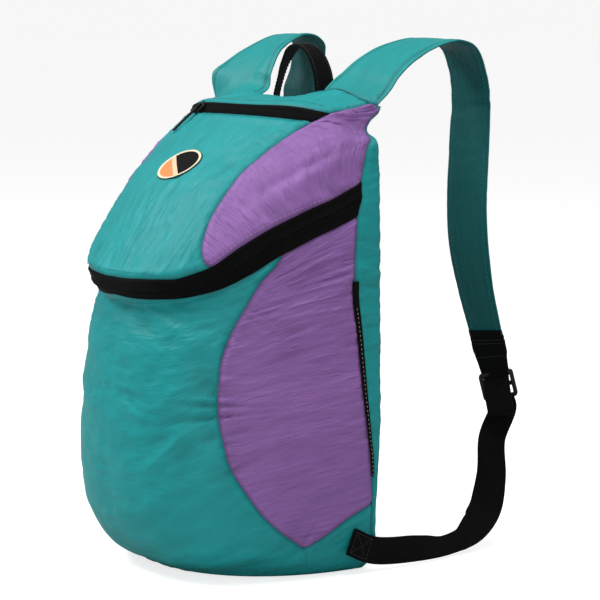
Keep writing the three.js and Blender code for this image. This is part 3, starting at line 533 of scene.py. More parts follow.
def wrinkle_by_cloth(patches, growths, frames=22, cap=0.0055):
    """All panels as loose cloth, each a little larger than its place and held at its seams, so
    that it buckles into real wrinkles. Gives how far each point moved."""
    counts = [p.points.shape[0] * p.points.shape[1] for p in patches]
    firsts = np.concatenate([[0], np.cumsum(counts)])
    points = np.concatenate([p.points.reshape(-1, 3) for p in patches])
    faces = np.concatenate([p.faces(first) for p, first in zip(patches, firsts)])
    cloth = mesh_from("cloth_trial", points, faces)
    grown = []
    held = []
    for patch, (up, around) in zip(patches, growths):
        frame_up = unit(np.gradient(patch.points, axis=0))
        frame_round = unit(np.gradient(patch.points, axis=1))
        larger = patch.points.copy()
        larger += frame_up * (patch.run_up * up)[..., None]
        larger += frame_round * (patch.run_round * around)[..., None]
        grown.append(larger.reshape(-1, 3))
        hold = np.full(patch.points.shape[:2], HOLD_INSIDE)
        hold[0], hold[-1], hold[:, 0], hold[:, -1] = 1, 1, 1, 1
        held.append(hold.ravel())
    cloth.shape_key_add(name="place")
    rest = cloth.shape_key_add(name="cut")
    rest.data.foreach_set("co", np.concatenate(grown).astype(np.float32).ravel())
    group = cloth.vertex_groups.new(name="seams")
    weights = np.concatenate(held)
    for weight in np.unique(weights):
        group.add(np.flatnonzero(weights == weight).tolist(), float(weight), "REPLACE")
    only(cloth)
    bpy.ops.object.modifier_add(type="CLOTH")
    made = cloth.modifiers["Cloth"]
    for key, value in CLOTH_SETTINGS.items():
        setattr(made.settings, key, value)
    made.settings.rest_shape_key = rest
    made.settings.effector_weights.gravity = 0
    made.collision_settings.use_collision = False
    made.collision_settings.use_self_collision = False
    made.point_cache.frame_end = frames
    scene = bpy.context.scene
    for step in range(1, frames + 1):
        scene.frame_set(step)
    done = cloth.evaluated_get(bpy.context.evaluated_depsgraph_get()).data
    moved = np.zeros(len(points) * 3, np.float32)
    done.vertices.foreach_get("co", moved)
    moved = moved.reshape(-1, 3) - points
    far = np.linalg.norm(moved, axis=1, keepdims=True)
    moved *= np.minimum(1, cap / np.maximum(far, 1e-9))
    scene.frame_set(1)
    bpy.data.objects.remove(cloth)
    return [moved[a:b].reshape(*p.points.shape) for p, a, b in zip(patches, firsts, firsts[1:])]


DITCH_DEPTH, DITCH_WIDTH = 0.0011, 0.0016
SWELL_HEIGHT, SWELL_AT, SWELL_WIDTH = 0.0007, 0.0055, 0.0035
PEAK_WIDTH = 0.17
CALM_REACH = 0.005
FLOOR_CLEARANCE = 0.0004


class Seam:
    """A sewn line over the form, with the gathers that stand square to it."""

    def __init__(self, levels, turns, depth, pitch, reach, seed, peak=0.0, peak_at=0.5):
        self.line = form(np.asarray(levels, float), np.asarray(turns, float))
        self.run = runs(self.line)
        self.depth, self.pitch, self.reach, self.seed = depth, pitch, reach, seed
        self.peak, self.peak_at = peak, peak_at

    def nearest(self, points):
        flat = points.reshape(-1, 3)
        away = np.empty(len(flat))
        along = np.empty(len(flat))
        start, step = self.line[:-1], np.diff(self.line, axis=0)
        size = (step ** 2).sum(1)
        for a in range(0, len(flat), 4000):
            off = flat[a:a + 4000, None] - start[None]
            t = np.clip((off * step[None]).sum(2) / size[None], 0, 1)
            gap = np.linalg.norm(off - t[..., None] * step[None], axis=2)
            best = gap.argmin(1)
            rows = np.arange(len(best))
            away[a:a + 4000] = gap[rows, best]
            along[a:a + 4000] = self.run[best] + t[rows, best] * np.sqrt(size[best])
        return away.reshape(points.shape[:-1]), along.reshape(points.shape[:-1])

    def relief(self, points):
        """How far the seam lifts the cloth, how near each point is to it, and how deep in a
        gather it lies."""
        away, along = self.nearest(points)
        wave = ripple(along / self.pitch, self.seed)
        wave = wave + 0.4 * ripple(along / self.pitch * 2.3, self.seed + 1)
        folds = 0.45 - 1.4 * np.clip(1 - np.abs(wave), 0, 1) ** 1.6
        reach = self.reach * (0.8 + 0.7 * ripple(along / (self.pitch * 1.7), self.seed + 2))
        crowd = 1 + self.peak * np.exp(-((along / self.run[-1] - self.peak_at) / PEAK_WIDTH) ** 2)
        strength = (0.6 + 0.5 * ripple(along / 0.035, self.seed + 3)) * crowd
        folds = folds * strength * np.exp(-away / np.maximum(reach, 0.003))
        folds *= 1 - 0.7 * np.exp(-(away / 0.0020) ** 2)
        ditch = DITCH_DEPTH * np.exp(-(away / DITCH_WIDTH) ** 2)
        swell = SWELL_HEIGHT * np.exp(-((away - SWELL_AT) / SWELL_WIDTH) ** 2)
        return self.depth * folds - ditch + swell, away, np.clip(-folds, 0, 1)


def stretch(low, high, count=120):
    return np.linspace(low, high, count)


def make_seams():
    body = stretch(HEM_SEAM[0][1], BAND_LOW, 60)
    hem = stretch(HEM_SEAM[0][0], HEM_SEAM[-1][0], 30)
    lid = stretch(BAND_TOP, RIDGE, 70)
    gusset = stretch(0, RIDGE, 110)
    round_band = stretch(-1, 1, 120)
    wide = stretch(-1, 1, 60)
    rows = []
    for side, name in SIDES:
        seed = 11 if side > 0 else 61
        rows += [
            (f"front_{name}", body, side * front_seam(body), 0.0015, 0.0105, 0.018, seed, 2.2, 0.52),
            (f"hem_{name}", hem_seam(hem), side * hem, 0.0008, 0.007, 0.008, seed + 6),
            (f"wing_{name}", lid, lid_turn(lid, side), 0.0012, 0.0080, 0.010, seed + 12),
            (f"gusset_{name}", gusset, side * gusset_seam(gusset), 0.0014, 0.0065, 0.010, seed + 18),
        ]
    rows += [
        ("band_low", BAND_LOW, band_turn(BAND_LOW, round_band), 0.0010, 0.009, 0.009, 101),
        ("band_top", BAND_TOP, band_turn(BAND_TOP, round_band), 0.0015, 0.0090, 0.011, 107),
        ("zip_low", ZIP_LOW, lid_turn(ZIP_LOW, wide), 0.0007, 0.008, 0.006, 113),
        ("zip_top", ZIP_TOP, lid_turn(ZIP_TOP, wide), 0.0007, 0.008, 0.006, 119),
        ("ridge", RIDGE, band_turn(RIDGE, wide), 0.0010, 0.008, 0.010, 125),
        ("bottom", 0, round_band, 0.0011, 0.009, 0.012, 131),
    ]
    return {name: Seam(*values) for name, *values in rows}


def round_corners(patch, moved):
    """Rounds the back panel's two upright corners, where the gusset turns to the back."""
    soft = moved.copy()
    for _ in range(14):
        soft[:, 1:-1] = (soft[:, :-2] + 2 * soft[:, 1:-1] + soft[:, 2:]) / 4
    near = np.exp(-((np.abs(patch.turn) - 1) / 0.06) ** 2)
    near[:, 0], near[:, -1] = 0, 0
    return moved + (soft - moved) * near[..., None]


def finish_panel(row, patch, lift, seams, seed):
    """The panel's grid with its wrinkles, gathers and seam ditches, as an open sheet."""
    name, *_, seam_names, (length, spacing, height, angle) = row
    points = patch.points + lift
    if name == "back":
        points = round_corners(patch, points)
    normals = patch.normals()
    rise = np.zeros(points.shape[:2])
    nearest = np.full(points.shape[:2], 1.0)
    gathered = np.zeros(points.shape[:2])
    for seam_name in seam_names.split():
        relief, away, deep = seams[seam_name].relief(patch.points)
        rise += relief
        gathered = np.maximum(gathered, deep)
        nearest = np.minimum(nearest, away)
    cos, sin = math.cos(math.radians(angle)), math.sin(math.radians(angle))
    x = patch.run_round * cos + patch.run_up * sin
    y = patch.run_up * cos - patch.run_round * sin
    fine = creases(x / length, y / spacing, seed) - 0.5
    coarse = creases(x / length * 0.5, y / spacing * 0.4, seed + 5) - 0.5
    inside = 1 - np.exp(-(nearest / CALM_REACH) ** 2)
    crowd = 1.0
    if name.startswith(("side", "wing")):
        crowd = 0.35 + 1.1 * ease(np.clip(np.abs(patch.turn) / 0.92, 0, 1) ** 2)
    rise += height * (0.8 * fine + 1.2 * coarse) * inside * crowd
    points = points + normals * rise[..., None]
    points[..., 2] = np.maximum(points[..., 2], FLOOR_CLEARANCE)
    sheet = mesh_from(name, points, patch.faces(), np.stack([x, y], -1))
    # Painted shade: the cloth's colour is darkened in the seam ditches, in wrinkle valleys and in
    # the gathers by the seams, where shade falls.
    valley = np.clip(-(fine + coarse) * 1.4, 0, 1) * inside * crowd
    shade = 0.75 * np.exp(-(nearest / DITCH_WIDTH) ** 2) + 0.3 * valley + 0.45 * gathered
    paint(sheet, "shade", np.clip(shade, 0, 1))
    return sheet


def paint(thing, name, values):
    """Stores a value for each point of the mesh, for its material to read."""
    layer = thing.data.attributes.new(name, "FLOAT", "POINT")
    layer.data.foreach_set("value", np.asarray(values, np.float32).ravel())


def join_as(name, things):
    bpy.ops.object.select_all(action="DESELECT")
    for thing in things:
        thing.select_set(True)
    bpy.context.view_layer.objects.active = things[0]
    if len(things) > 1:
        bpy.ops.object.join()
    things[0].name = name
    things[0].data.name = name
    return things[0]


def edit_all(thing, operator, **values):
    """Runs an edit-mode operator over the whole mesh."""
    only(thing)
    bpy.ops.object.mode_set(mode="EDIT")
    bpy.ops.mesh.select_all(action="SELECT")
    operator(**values)
    bpy.ops.object.mode_set(mode="OBJECT")


def weld(thing, distance=0.00005):
    edit_all(thing, bpy.ops.mesh.remove_doubles, threshold=distance)


def thicken(thing, thickness):
    only(thing)
    bpy.ops.object.modifier_add(type="SOLIDIFY")
    wall = thing.modifiers["Solidify"]
    wall.thickness = thickness
    wall.offset = -1
    wall.use_even_offset = False
    bpy.ops.object.modifier_apply(modifier="Solidify")
    bpy.ops.object.shade_smooth_by_angle(angle=math.radians(50))


def dress(thing, material, slot, *nodes):
    thing.data.materials.clear()
    thing.data.materials.append(material)
    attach(thing, "root")
    if nodes:
        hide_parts(*nodes)
    return thing


# Materials
class Shader:
    """A new material with its node tree, and short ways to add and link nodes."""

    def __init__(self, name, colour, roughness):
        self.material = bpy.data.materials.new(name)
        self.material.use_nodes = True
        self.tree = self.material.node_tree
        self.surface = self.tree.nodes["Principled BSDF"]
        self.surface.inputs["Base Color"].default_value = (*colour, 1)
        self.surface.inputs["Roughness"].default_value = roughness
        self.colour = colour

    def node(self, kind, **values):
        made = self.tree.nodes.new(kind)
        for key, value in values.items():
            setattr(made, key, value)
        return made

    def link(self, source, target):
        self.tree.links.new(source, target)

    def maths(self, operation, first, second=None):
        made = self.node("ShaderNodeMath", operation=operation)
        for socket, value in zip(made.inputs, (first, second)):
            if isinstance(value, (int, float)):
                socket.default_value = value
            elif value is not None:
                self.link(value, socket)
        return made.outputs[0]

    def weighted(self, *pairs):
        """The sum of each value times its weight."""
        total = None
        for value, weight in pairs:
            part = self.maths("MULTIPLY", value, weight)
            total = part if total is None else self.maths("ADD", total, part)
        return total

    def scaled(self, source, scale):
        mapping = self.node("ShaderNodeMapping")
        mapping.inputs["Scale"].default_value = scale
        self.link(source, mapping.inputs["Vector"])
        return mapping.outputs[0]

    def noise(self, vector, scale, detail=3.0, roughness=0.55, distortion=0.0):
        made = self.node("ShaderNodeTexNoise", noise_type="FBM")
        made.inputs["Scale"].default_value = scale
        made.inputs["Detail"].default_value = detail
        made.inputs["Roughness"].default_value = roughness
        made.inputs["Distortion"].default_value = distortion
        self.link(vector, made.inputs["Vector"])
        return made.outputs[0]

    def object_place(self):
        return self.node("ShaderNodeTexCoord").outputs["Object"]

    def uv_place(self):
        return self.node("ShaderNodeUVMap", uv_map="weave").outputs[0]

    def tint(self, amount_socket, low, high):
        """The base colour runs from low to high times the plain colour."""
        ramp = self.node("ShaderNodeMix", data_type="RGBA")
        ramp.inputs["A"].default_value = (*[c * low for c in self.colour], 1)
        ramp.inputs["B"].default_value = (*[c * high for c in self.colour], 1)
        self.link(amount_socket, ramp.inputs["Factor"])
        self.link(ramp.outputs["Result"], self.surface.inputs["Base Color"])
        return ramp

    def bump(self, height, distance, strength=1.0, onto=None):
        made = self.node("ShaderNodeBump")
        made.inputs["Strength"].default_value = strength
        made.inputs["Distance"].default_value = distance
        self.link(height, made.inputs["Height"])
        if onto is not None:
            self.link(onto, made.inputs["Normal"])
        self.link(made.outputs[0], self.surface.inputs["Normal"])
        return made.outputs[0]

    def waves(self, place, axis, pitch):
        """A sine along X or Y of the place, with the given pitch."""
        split = self.node("ShaderNodeSeparateXYZ")
        self.link(place, split.inputs[0])
        turned = self.maths("MULTIPLY", split.outputs[axis], 2 * math.pi / pitch)
        return self.maths("SINE", turned)


def nylon(name, colour, crinkle, depth):
    """Thin parachute nylon: a fine plain weave, softly crumpled, with a silky sheen.
    crinkle: how many wrinkles there are to a metre across and along the cloth.
    depth: their height in metres."""
    s = Shader(name, colour, 0.5)
    s.surface.inputs["Sheen Weight"].default_value = 0.05
    s.surface.inputs["Sheen Roughness"].default_value = 0.4
    s.surface.inputs["Sheen Tint"].default_value = (*[min(1, c * 1.6 + 0.15) for c in colour], 1)
    s.surface.inputs["Specular IOR Level"].default_value = 0.24
    uv = s.uv_place()
    across, along = crinkle
    wide = s.noise(s.scaled(uv, (across * 0.35, along * 0.3, 1)), 1.0, 2.0)
    fine = s.noise(s.scaled(uv, (across, along, 1)), 1.0, 2.0, 0.5, 0.25)
    thin = s.noise(s.scaled(uv, (across * 2.2, along * 2.3, 1)), 1.0, 1.0, 0.5, 0.2)
    grain = s.noise(s.scaled(uv, (1500, 900, 1)), 1.0, 2.0)
    patchy = s.noise(s.scaled(uv, (26, 26, 1)), 1.0, 3.0)
    # Painted shade: the 'shade' attribute darkens the colour at seams, in wrinkle valleys and in
    # gathers; below it is added to random tone from the noises.
    sewn = s.node("ShaderNodeAttribute", attribute_name="shade").outputs["Fac"]
    shade = s.weighted((wide, 0.3), (fine, 0.3), (patchy, 0.3), (grain, 0.1), (sewn, -0.7))
    face = s.tint(shade, 0.62, 1.40)
    # Painted shade: the strap's inner face, which faces the bag, is given a darker teal.
    underside_shade = s.node("ShaderNodeMix", data_type="RGBA")
    underside_shade.inputs["B"].default_value = (*STRAP_UNDERSIDE_SHADE, 1)
    s.link(s.node("ShaderNodeAttribute", attribute_name="underside_shade").outputs["Fac"],
           underside_shade.inputs["Factor"])
    s.link(face.outputs["Result"], underside_shade.inputs["A"])
    s.link(underside_shade.outputs["Result"], s.surface.inputs["Base Color"])
    weave = s.maths("MULTIPLY", s.waves(uv, 0, 0.0009), s.waves(uv, 1, 0.0009))
    crest = s.maths("ABSOLUTE", s.maths("SUBTRACT", fine, 0.5))
    first = s.bump(weave, 0.00005, 0.5)
    second = s.bump(crest, depth * 4, 1.0, first)
    third = s.bump(thin, depth, 0.8, second)
    s.bump(wide, depth * 3, 1.0, third)
    return s.material


def tape_cloth(name, colour, pitch, roughness=0.7):
    """Woven tape with ribs across it."""
    s = Shader(name, colour, roughness)
    s.surface.inputs["Specular IOR Level"].default_value = 0.07
    uv = s.uv_place()
    ribs = s.waves(uv, 0, pitch)
    lengthwise = s.waves(uv, 1, pitch * 0.9)
    grain = s.noise(s.scaled(uv, (900, 900, 1)), 1.0, 3.0)
    weave = s.weighted((s.maths("MULTIPLY", ribs, lengthwise), 1), (grain, 0.5))
    worn = s.noise(s.scaled(uv, (60, 60, 1)), 1.0, 3.0)
    s.tint(s.weighted((weave, 0.3), (worn, 0.7)), 0.6, 1.7)
    s.bump(weave, 0.0003, 0.8)
    return s.material


def moulded(name, colour):
    s = Shader(name, colour, 0.42)
    s.surface.inputs["Specular IOR Level"].default_value = 0.25
    place = s.object_place()
    grain = s.noise(place, 1800, 2.0)
    marks = s.noise(place, 160, 3.0)
    s.tint(marks, 0.8, 1.5)
    rough = s.node("ShaderNodeMapRange")
    rough.inputs["To Min"].default_value = 0.34
    rough.inputs["To Max"].default_value = 0.52
    s.link(marks, rough.inputs["Value"])
    s.link(rough.outputs[0], s.surface.inputs["Roughness"])
    s.bump(grain, 0.00008, 0.5)
    return s.material


def thread(name, colour):
    s = Shader(name, colour, 0.6)
    place = s.object_place()
    twist = s.noise(place, 2500, 2.0)
    s.tint(twist, 0.7, 1.3)
    s.bump(twist, 0.0001, 0.6)
    return s.material


def badge_cloth(name):
    """A generic oval patch: cream rim, black field and a plain orange stripe, with a dark teal edge
    that stands for its edge thread and for painted shadow on the cloth round it.
    """
    cream, black, orange = (0.80, 0.70, 0.50), (0.004, 0.004, 0.005), (0.78, 0.27, 0.10)
    s = Shader(name, black, 0.75)
    s.surface.inputs["Specular IOR Level"].default_value = 0.1
    uv = s.uv_place()
    split = s.node("ShaderNodeSeparateXYZ")
    s.link(uv, split.inputs[0])
    x, y = split.outputs[0], split.outputs[1]
    squares = s.maths("ADD", s.maths("MULTIPLY", x, x), s.maths("MULTIPLY", y, y))
    radius = s.maths("SQRT", squares)
    slope = s.weighted((x, 0.9), (y, 0.5))
    in_stripe = s.maths("LESS_THAN", slope, -0.26)
    in_pale = s.maths("COMPARE", slope, -0.20)
    in_pale.node.inputs[2].default_value = 0.10
    on_rim = s.maths("GREATER_THAN", radius, 0.86)
    # Painted shadow: a dark teal ring round the badge's edge, where it meets the cloth, which also
    # stands for the dark edge thread.
    dark_edge_and_shadow = s.maths("GREATER_THAN", radius, 0.965)
    last = None
    for factor, colour in ((in_stripe, orange), (in_pale, (0.86, 0.56, 0.38)), (on_rim, cream),
                           (dark_edge_and_shadow, (0.02, 0.06, 0.06))):
        mix = s.node("ShaderNodeMix", data_type="RGBA")
        if last is None:
            mix.inputs["A"].default_value = (*black, 1)
        else:
            s.link(last, mix.inputs["A"])
        mix.inputs["B"].default_value = (*colour, 1)
        s.link(factor, mix.inputs["Factor"])
        last = mix.outputs["Result"]
    s.link(last, s.surface.inputs["Base Color"])
    satin = s.waves(s.scaled(uv, (1, 0.55, 1)), 1, 0.045)
    s.bump(satin, 0.0002, 0.6)
    return s.material


TEAL = (0.006, 0.262, 0.270)
STRAP_TEAL = (0.008, 0.240, 0.240)
VIOLET = (0.240, 0.112, 0.345)
# Painted shade for the strap's inner face, which lies in shadow.
STRAP_UNDERSIDE_SHADE = (0.004, 0.080, 0.083)
BLACK = (0.0026, 0.0026, 0.0030)

teal = nylon("teal_nylon", TEAL, (34, 90), 0.0004)
teal_strap = nylon("teal_strap_nylon", STRAP_TEAL, (110, 50), 0.0003)
violet = nylon("violet_nylon", VIOLET, (26, 170), 0.0008)
zip_tape = tape_cloth("zip_tape", BLACK, 0.0013)
webbing = tape_cloth("ribbed_webbing", BLACK, 0.0017)
plastic = moulded("moulded_plastic", (0.0035, 0.0035, 0.004))
teal_thread = thread("teal_thread", (0.012, 0.19, 0.20))
violet_thread = thread("violet_thread", (0.38, 0.24, 0.48))
black_thread = thread("black_thread", (0.016, 0.016, 0.018))
cream_thread = thread("cream_thread", (0.40, 0.37, 0.28))
patch_cloth = badge_cloth("patch_embroidery")


# Lines of stitches
THREAD_RINGS = ((-0.5, 0.35), (-0.38, 0.95), (0.38, 0.95), (0.5, 0.35))
THREAD_SIDES = 6


def stitches(line, normals, name, pitch=stitch_pitch, length=stitch_length, radius=thread_radius):
    """Small rounded threads along a line, as one mesh."""
    run = runs(line)

    def sample(values, at):
        return np.array([np.interp(at, run, values[:, k]) for k in range(3)])

    points, faces = [], []
    for centre in np.arange(pitch / 2, run[-1], pitch):
        middle = sample(line, centre)
        path = unit(sample(line, centre + length / 2) - sample(line, centre - length / 2))
        up = unit(sample(normals, centre))
        side = np.cross(path, up)
        first = len(points)
        for along, thick in THREAD_RINGS:
            rise = radius * (0.9 if thick > 0.5 else 0.1)
            for k in range(THREAD_SIDES):
                angle = k * 2 * math.pi / THREAD_SIDES
                ring = side * math.cos(angle) + up * math.sin(angle)
                points.append(middle + path * along * length + up * rise + ring * radius * thick)
        faces += list(quads(len(THREAD_RINGS), THREAD_SIDES, True, first))
        faces.append(range(first + THREAD_SIDES - 1, first - 1, -1))
        faces.append(range(len(points) - THREAD_SIDES, len(points)))
    return mesh_from(name, np.array(points), faces)


# Tapes and straps
def across_by(yaw, roll):
    yaw, roll = np.radians(yaw), np.radians(roll)
    return np.stack([np.cos(yaw) * np.cos(roll), np.sin(yaw) * np.cos(roll), -np.sin(roll)], -1)


def through(points, per_span=20):
    """A centripetal curve through the points, sampled densely."""
    points = np.asarray(points, float)
    padded = np.vstack([2 * points[0] - points[1], points, 2 * points[-1] - points[-2]])
    out = []
    for i in range(len(points) - 1):
        p0, p1, p2, p3 = padded[i:i + 4]
        d0, d1, d2 = (max(np.linalg.norm(b - a), 1e-6) ** 0.5
                      for a, b in ((p0, p1), (p1, p2), (p2, p3)))
        t1 = ((p1 - p0) / d0 - (p2 - p0) / (d0 + d1) + (p2 - p1) / d1) * d1
        t2 = ((p2 - p1) / d1 - (p3 - p1) / (d1 + d2) + (p3 - p2) / d2) * d1
        t = np.linspace(0, 1, per_span, endpoint=False)[:, None]
        c2 = -3 * p1 + 3 * p2 - 2 * t1 - t2
        c3 = 2 * p1 - 2 * p2 + t1 + t2
        out.append(p1 + t1 * t + c2 * t ** 2 + c3 * t ** 3)
    return np.vstack([*out, points[-1:]])


class Line:
    """Evenly spaced stations along a smooth line through a table's points."""

    def __init__(self, points, widths, yaws, rolls, step):
        curve = through(points)
        run = runs(curve)
        marks = run[::20]
        self.total = run[-1]
        count = max(8, math.ceil(self.total / step))
        self.run = np.linspace(0, self.total, count + 1)
        self.centre = np.stack([np.interp(self.run, run, curve[:, k]) for k in range(3)], -1)
        self.width = Smooth(marks, widths)(self.run)
        self.across = across_by(Smooth(marks, yaws)(self.run), Smooth(marks, rolls)(self.run))
        self.settle()

    def settle(self):
        self.path = unit(np.gradient(self.centre, axis=0))
        drift = (self.across * self.path).sum(-1, keepdims=True)
        self.across = unit(self.across - self.path * drift)
        self.normal = np.cross(self.across, self.path)


def loop_round(columns):
    """A band's section: where each point lies from -1 to 1 across it, and on which face."""
    s = np.linspace(-1, 1, columns + 1)
    return np.concatenate([s, s[::-1]]), np.repeat([1, -1], columns + 1)


def closed_band(name, points, uv):
    """A closed mesh round rows of sections, with both ends capped."""
    rows, count = points.shape[:2]
    faces = list(quads(rows, count, True)[:, [0, 3, 2, 1]])
    last = (rows - 1) * count
    for k in range(count // 2 - 1):
        faces.append((k, k + 1, count - 2 - k, count - 1 - k))
        faces.append((last + k + 1, last + k, last + count - 1 - k, last + count - 2 - k))
    return mesh_from(name, points, faces, uv)


def band(name, line, half, thickness, columns=10, relief=None, edge=0.5):
    """A flat band along a line: two faces with rounded edges between them. relief gives how
    far both faces move along the normal at (run, across)."""
    across, face = loop_round(columns)
    thick = thickness / 2 * (1 - edge * np.abs(across) ** 10)
    reach = across * np.broadcast_to(half, line.run.shape)[:, None]
    centre = line.centre[:, None] + line.across[:, None] * reach[..., None]
    off = face * thick + relief(line.run[:, None], reach)
    points = centre + line.normal[:, None] * off[..., None]
    run = np.broadcast_to(line.run[:, None], off.shape)
    return closed_band(name, points, np.stack([run, reach], -1))


def point_outwards(thing):
    edit_all(thing, bpy.ops.mesh.normals_make_consistent, inside=False)
    bpy.ops.object.shade_smooth_by_angle(angle=math.radians(50))


def mirror_x(thing):
    thing.data.transform(Matrix.Scale(-1, 4, (1, 0, 0)))
    thing.data.flip_normals()
    return thing


# Straps: the table of the centre line, as shares of the reach, rise and drop
STRAP_LINE = [
    # out in mm, back, up, width, yaw, roll
    (0, 0, 0.04, 1.16, 10, 12),
    (0, 0.1, 0.12, 1.1, 8, 12),
    (0, 0.21, 0.42, 1.04, 5, 12),
    (1, 0.36, 0.74, 1, 2, 11),
    (1, 0.52, 0.94, 0.97, 0, 7),
    (2, 0.67, 1.04, 0.95, 0, 3),
    (2, 0.8, 1.03, 0.94, 0, 0),
    (3, 0.9, 0.86, 0.93, 0, 0),
    (4, 0.96, 0.44, 0.93, 0, 0),
    (5, 0.98, 0.04, 0.95, 0, 0),
    (6, 0.985, -0.07, 0.97, 0, 0),
    (7, 0.965, -0.25, 1, 0, 0),
    (9, 0.94, -0.48, 1, 0, 0),
    (11, 0.95, -0.64, 0.96, 2, 0),
    (13, 1, -0.81, 0.85, 4, 0),
    (16, 1.08, -1, 0.72, 8, 0),
]
WEB_LINE = [
    # out in mm, back, up, yaw, roll
    (21, 1.13, 0.69, 52, 0),
    (24, 1.12, 0.44, 54, 4),
    (28, 1.06, 0.25, 56, 20),
    (33, 0.92, 0.145, 60, 48),
    (39, 0.7, 0.107, 66, 74),
    (46, 0.4, 0.106, 74, 88),
    (53, 0.12, 0.135, 80, 88),
]
HAUL_LINE = [
    # side, up, yaw
    (0.5, -0.1, -8), (0.47, 0.12, -8), (0.4, 0.56, -4), (0.25, 0.88, 2), (0.05, 1, 10),
    (-0.12, 0.93, 20), (-0.265, 0.66, 32), (-0.37, 0.32, 40), (-0.435, 0.05, 40),
    (-0.455, -0.1, 40),
]
STRAP_SIDES = {
    "right": dict(side=1, spread=1.0, reach=1.0, rise=1.0, twist=0, flare=0.1, lean=0),
    "left": dict(side=-1, spread=1.1, reach=0.64, rise=1.26, twist=-38, flare=0.45, lean=0.13),
}
millimetre = 0.001


def ridge_at(x):
    """The top seam at a distance from the middle."""
    last = SECTIONS[RIDGE]
    across = x / (last[3] * bag_width / 2)
    forward = (1 - abs(across) ** last[5]) ** (1 / last[5])
    pull = last[6] * corner_pull * tautness(across)
    z = (last[1] + (last[2] - last[1]) * forward) * bag_height + foot_lift(across)
    return np.array([x, pull - forward * (last[4] * bag_depth + pull) + base_depth / 2, z])


class Strap:
    """One shoulder strap's lines, laid out on the right-hand side."""

    def __init__(self, name):
        self.name = name
        self.how = STRAP_SIDES[name]
        how = self.how
        spread = how["spread"] * strap_spread
        foot = ridge_at(how["side"] * spread)
        points, yaws, widths = [], [], []
        for out, back, up, width, yaw, _ in STRAP_LINE:
            rise = up * strap_rise * how["rise"] if up > 0 else up * strap_drop
            flare = how["flare"] * max(0, 1 - back / 0.4)
            widths.append(width * (1 + flare))
            reach = how["reach"] + how["lean"] * min(1, max(0, (up - 0.04) / 0.8))
            points.append((
                spread + out * millimetre + flare * strap_width * 0.1,
                foot[1] + back * strap_reach * reach,
                foot[2] + strap_thickness / 2 + strap_gap + rise,
            ))
            yaws.append(yaw + how["twist"] * max(0, 1 - back / twist_reach))
        self.line = Line(points, widths, yaws, [row[5] for row in STRAP_LINE], 0.0022)
        self.end = self.line.centre[-1]
        self.down = unit(self.line.centre[-1] - self.line.centre[-8])
        self.lock_centre = self.end + self.down * (tab_drop + strap_gap + lock_height / 2)
        side = across_by(lock_yaw, 0)
        self.lock_side = unit(side - self.down * (side @ self.down))
        self.lock_normal = unit(np.cross(self.lock_side, self.down))

    def band_relief(self, run, across):
        """Soft cross wrinkles where the strap bends, and some along it near its foot."""
        bend = np.exp(-((run - 0.16) / 0.07) ** 2) + 0.35
        seed = 300 if self.name == "right" else 340
        wrinkles = 0.0009 * bend * (creases(run / 0.011, across / 0.05, seed) - 0.5)
        near_foot = np.exp(-((run - 0.05) / 0.06) ** 2)
        return wrinkles + 0.0007 * ripple(across / 0.011 + 7, seed + 5) * near_foot


STRAP_SEAM = 0.0052


def make_strap(strap):
    """The padded strap, with topstitching along both edges."""
    line = strap.line
    half = line.width * strap_width / 2
    across, face = loop_round(28)
    reach = across[None] * half[:, None]
    from_edge = half[:, None] - np.abs(reach)
    thick = strap_thickness / 2 * (1.12 - 0.62 * np.exp(-from_edge / 0.0018))
    thick = thick - 0.0006 * np.exp(-((from_edge - STRAP_SEAM) / 0.0011) ** 2)
    thick = thick * (1 - 0.5 * np.exp(-(line.total - line.run[:, None]) / 0.005))
    wrinkles = strap.band_relief(line.run[:, None], reach)
    quilt = 0.00035 * (creases(line.run[:, None] / 0.02, reach / 0.009, 377) - 0.5)
    off = face[None] * (thick + quilt) + wrinkles
    points = line.centre[:, None] + line.across[:, None] * reach[..., None]
    sewn_in = 1 - ease(np.clip(line.run / foot_length, 0, 1))
    seam_x = np.clip(line.centre[0, 0] + reach[0], 0, 0.985 * SECTIONS[RIDGE][3] * bag_width / 2)
    foot = np.array([ridge_at(strap.how["side"] * x) for x in seam_x])
    foot[:, 0], foot[:, 2] = seam_x, foot[:, 2] - 0.0012
    points += (foot[None] - points) * sewn_in[:, None, None]
    points = points + line.normal[:, None] * off[..., None]
    uv = np.stack([reach, np.broadcast_to(line.run[:, None], reach.shape)], -1)
    thing = closed_band(f"strap_{strap.name}", points, uv)
    # Painted shade: the strap's colour is darkened along the stitch grooves and at its foot, where
    # it meets the bag.
    seam = np.exp(-((from_edge - STRAP_SEAM) / 0.0012) ** 2)
    seam = np.maximum(seam, np.exp(-line.run[:, None] / 0.003))
    paint(thing, "shade", 0.9 * seam)
    # Painted shade: marks the strap's inner face, which faces the bag, for its material to colour
    # darker.
    paint(thing, "underside_shade", np.broadcast_to(face[None] < 0, off.shape))
    threads = []
    for edge in (-1, 1):
        for way in (-1, 1):
            at = edge * (half - STRAP_SEAM)
            lift = way * (strap_thickness / 2 * 1.09 - 0.0007) + strap.band_relief(line.run, at)
            sewn = line.centre + line.across * at[:, None] + line.normal * lift[:, None]
            threads.append(stitches(sewn[3:-2], way * line.normal[3:-2], "strap_threads"))
    return thing, join_as(f"strap_stitches_{strap.name}", threads)


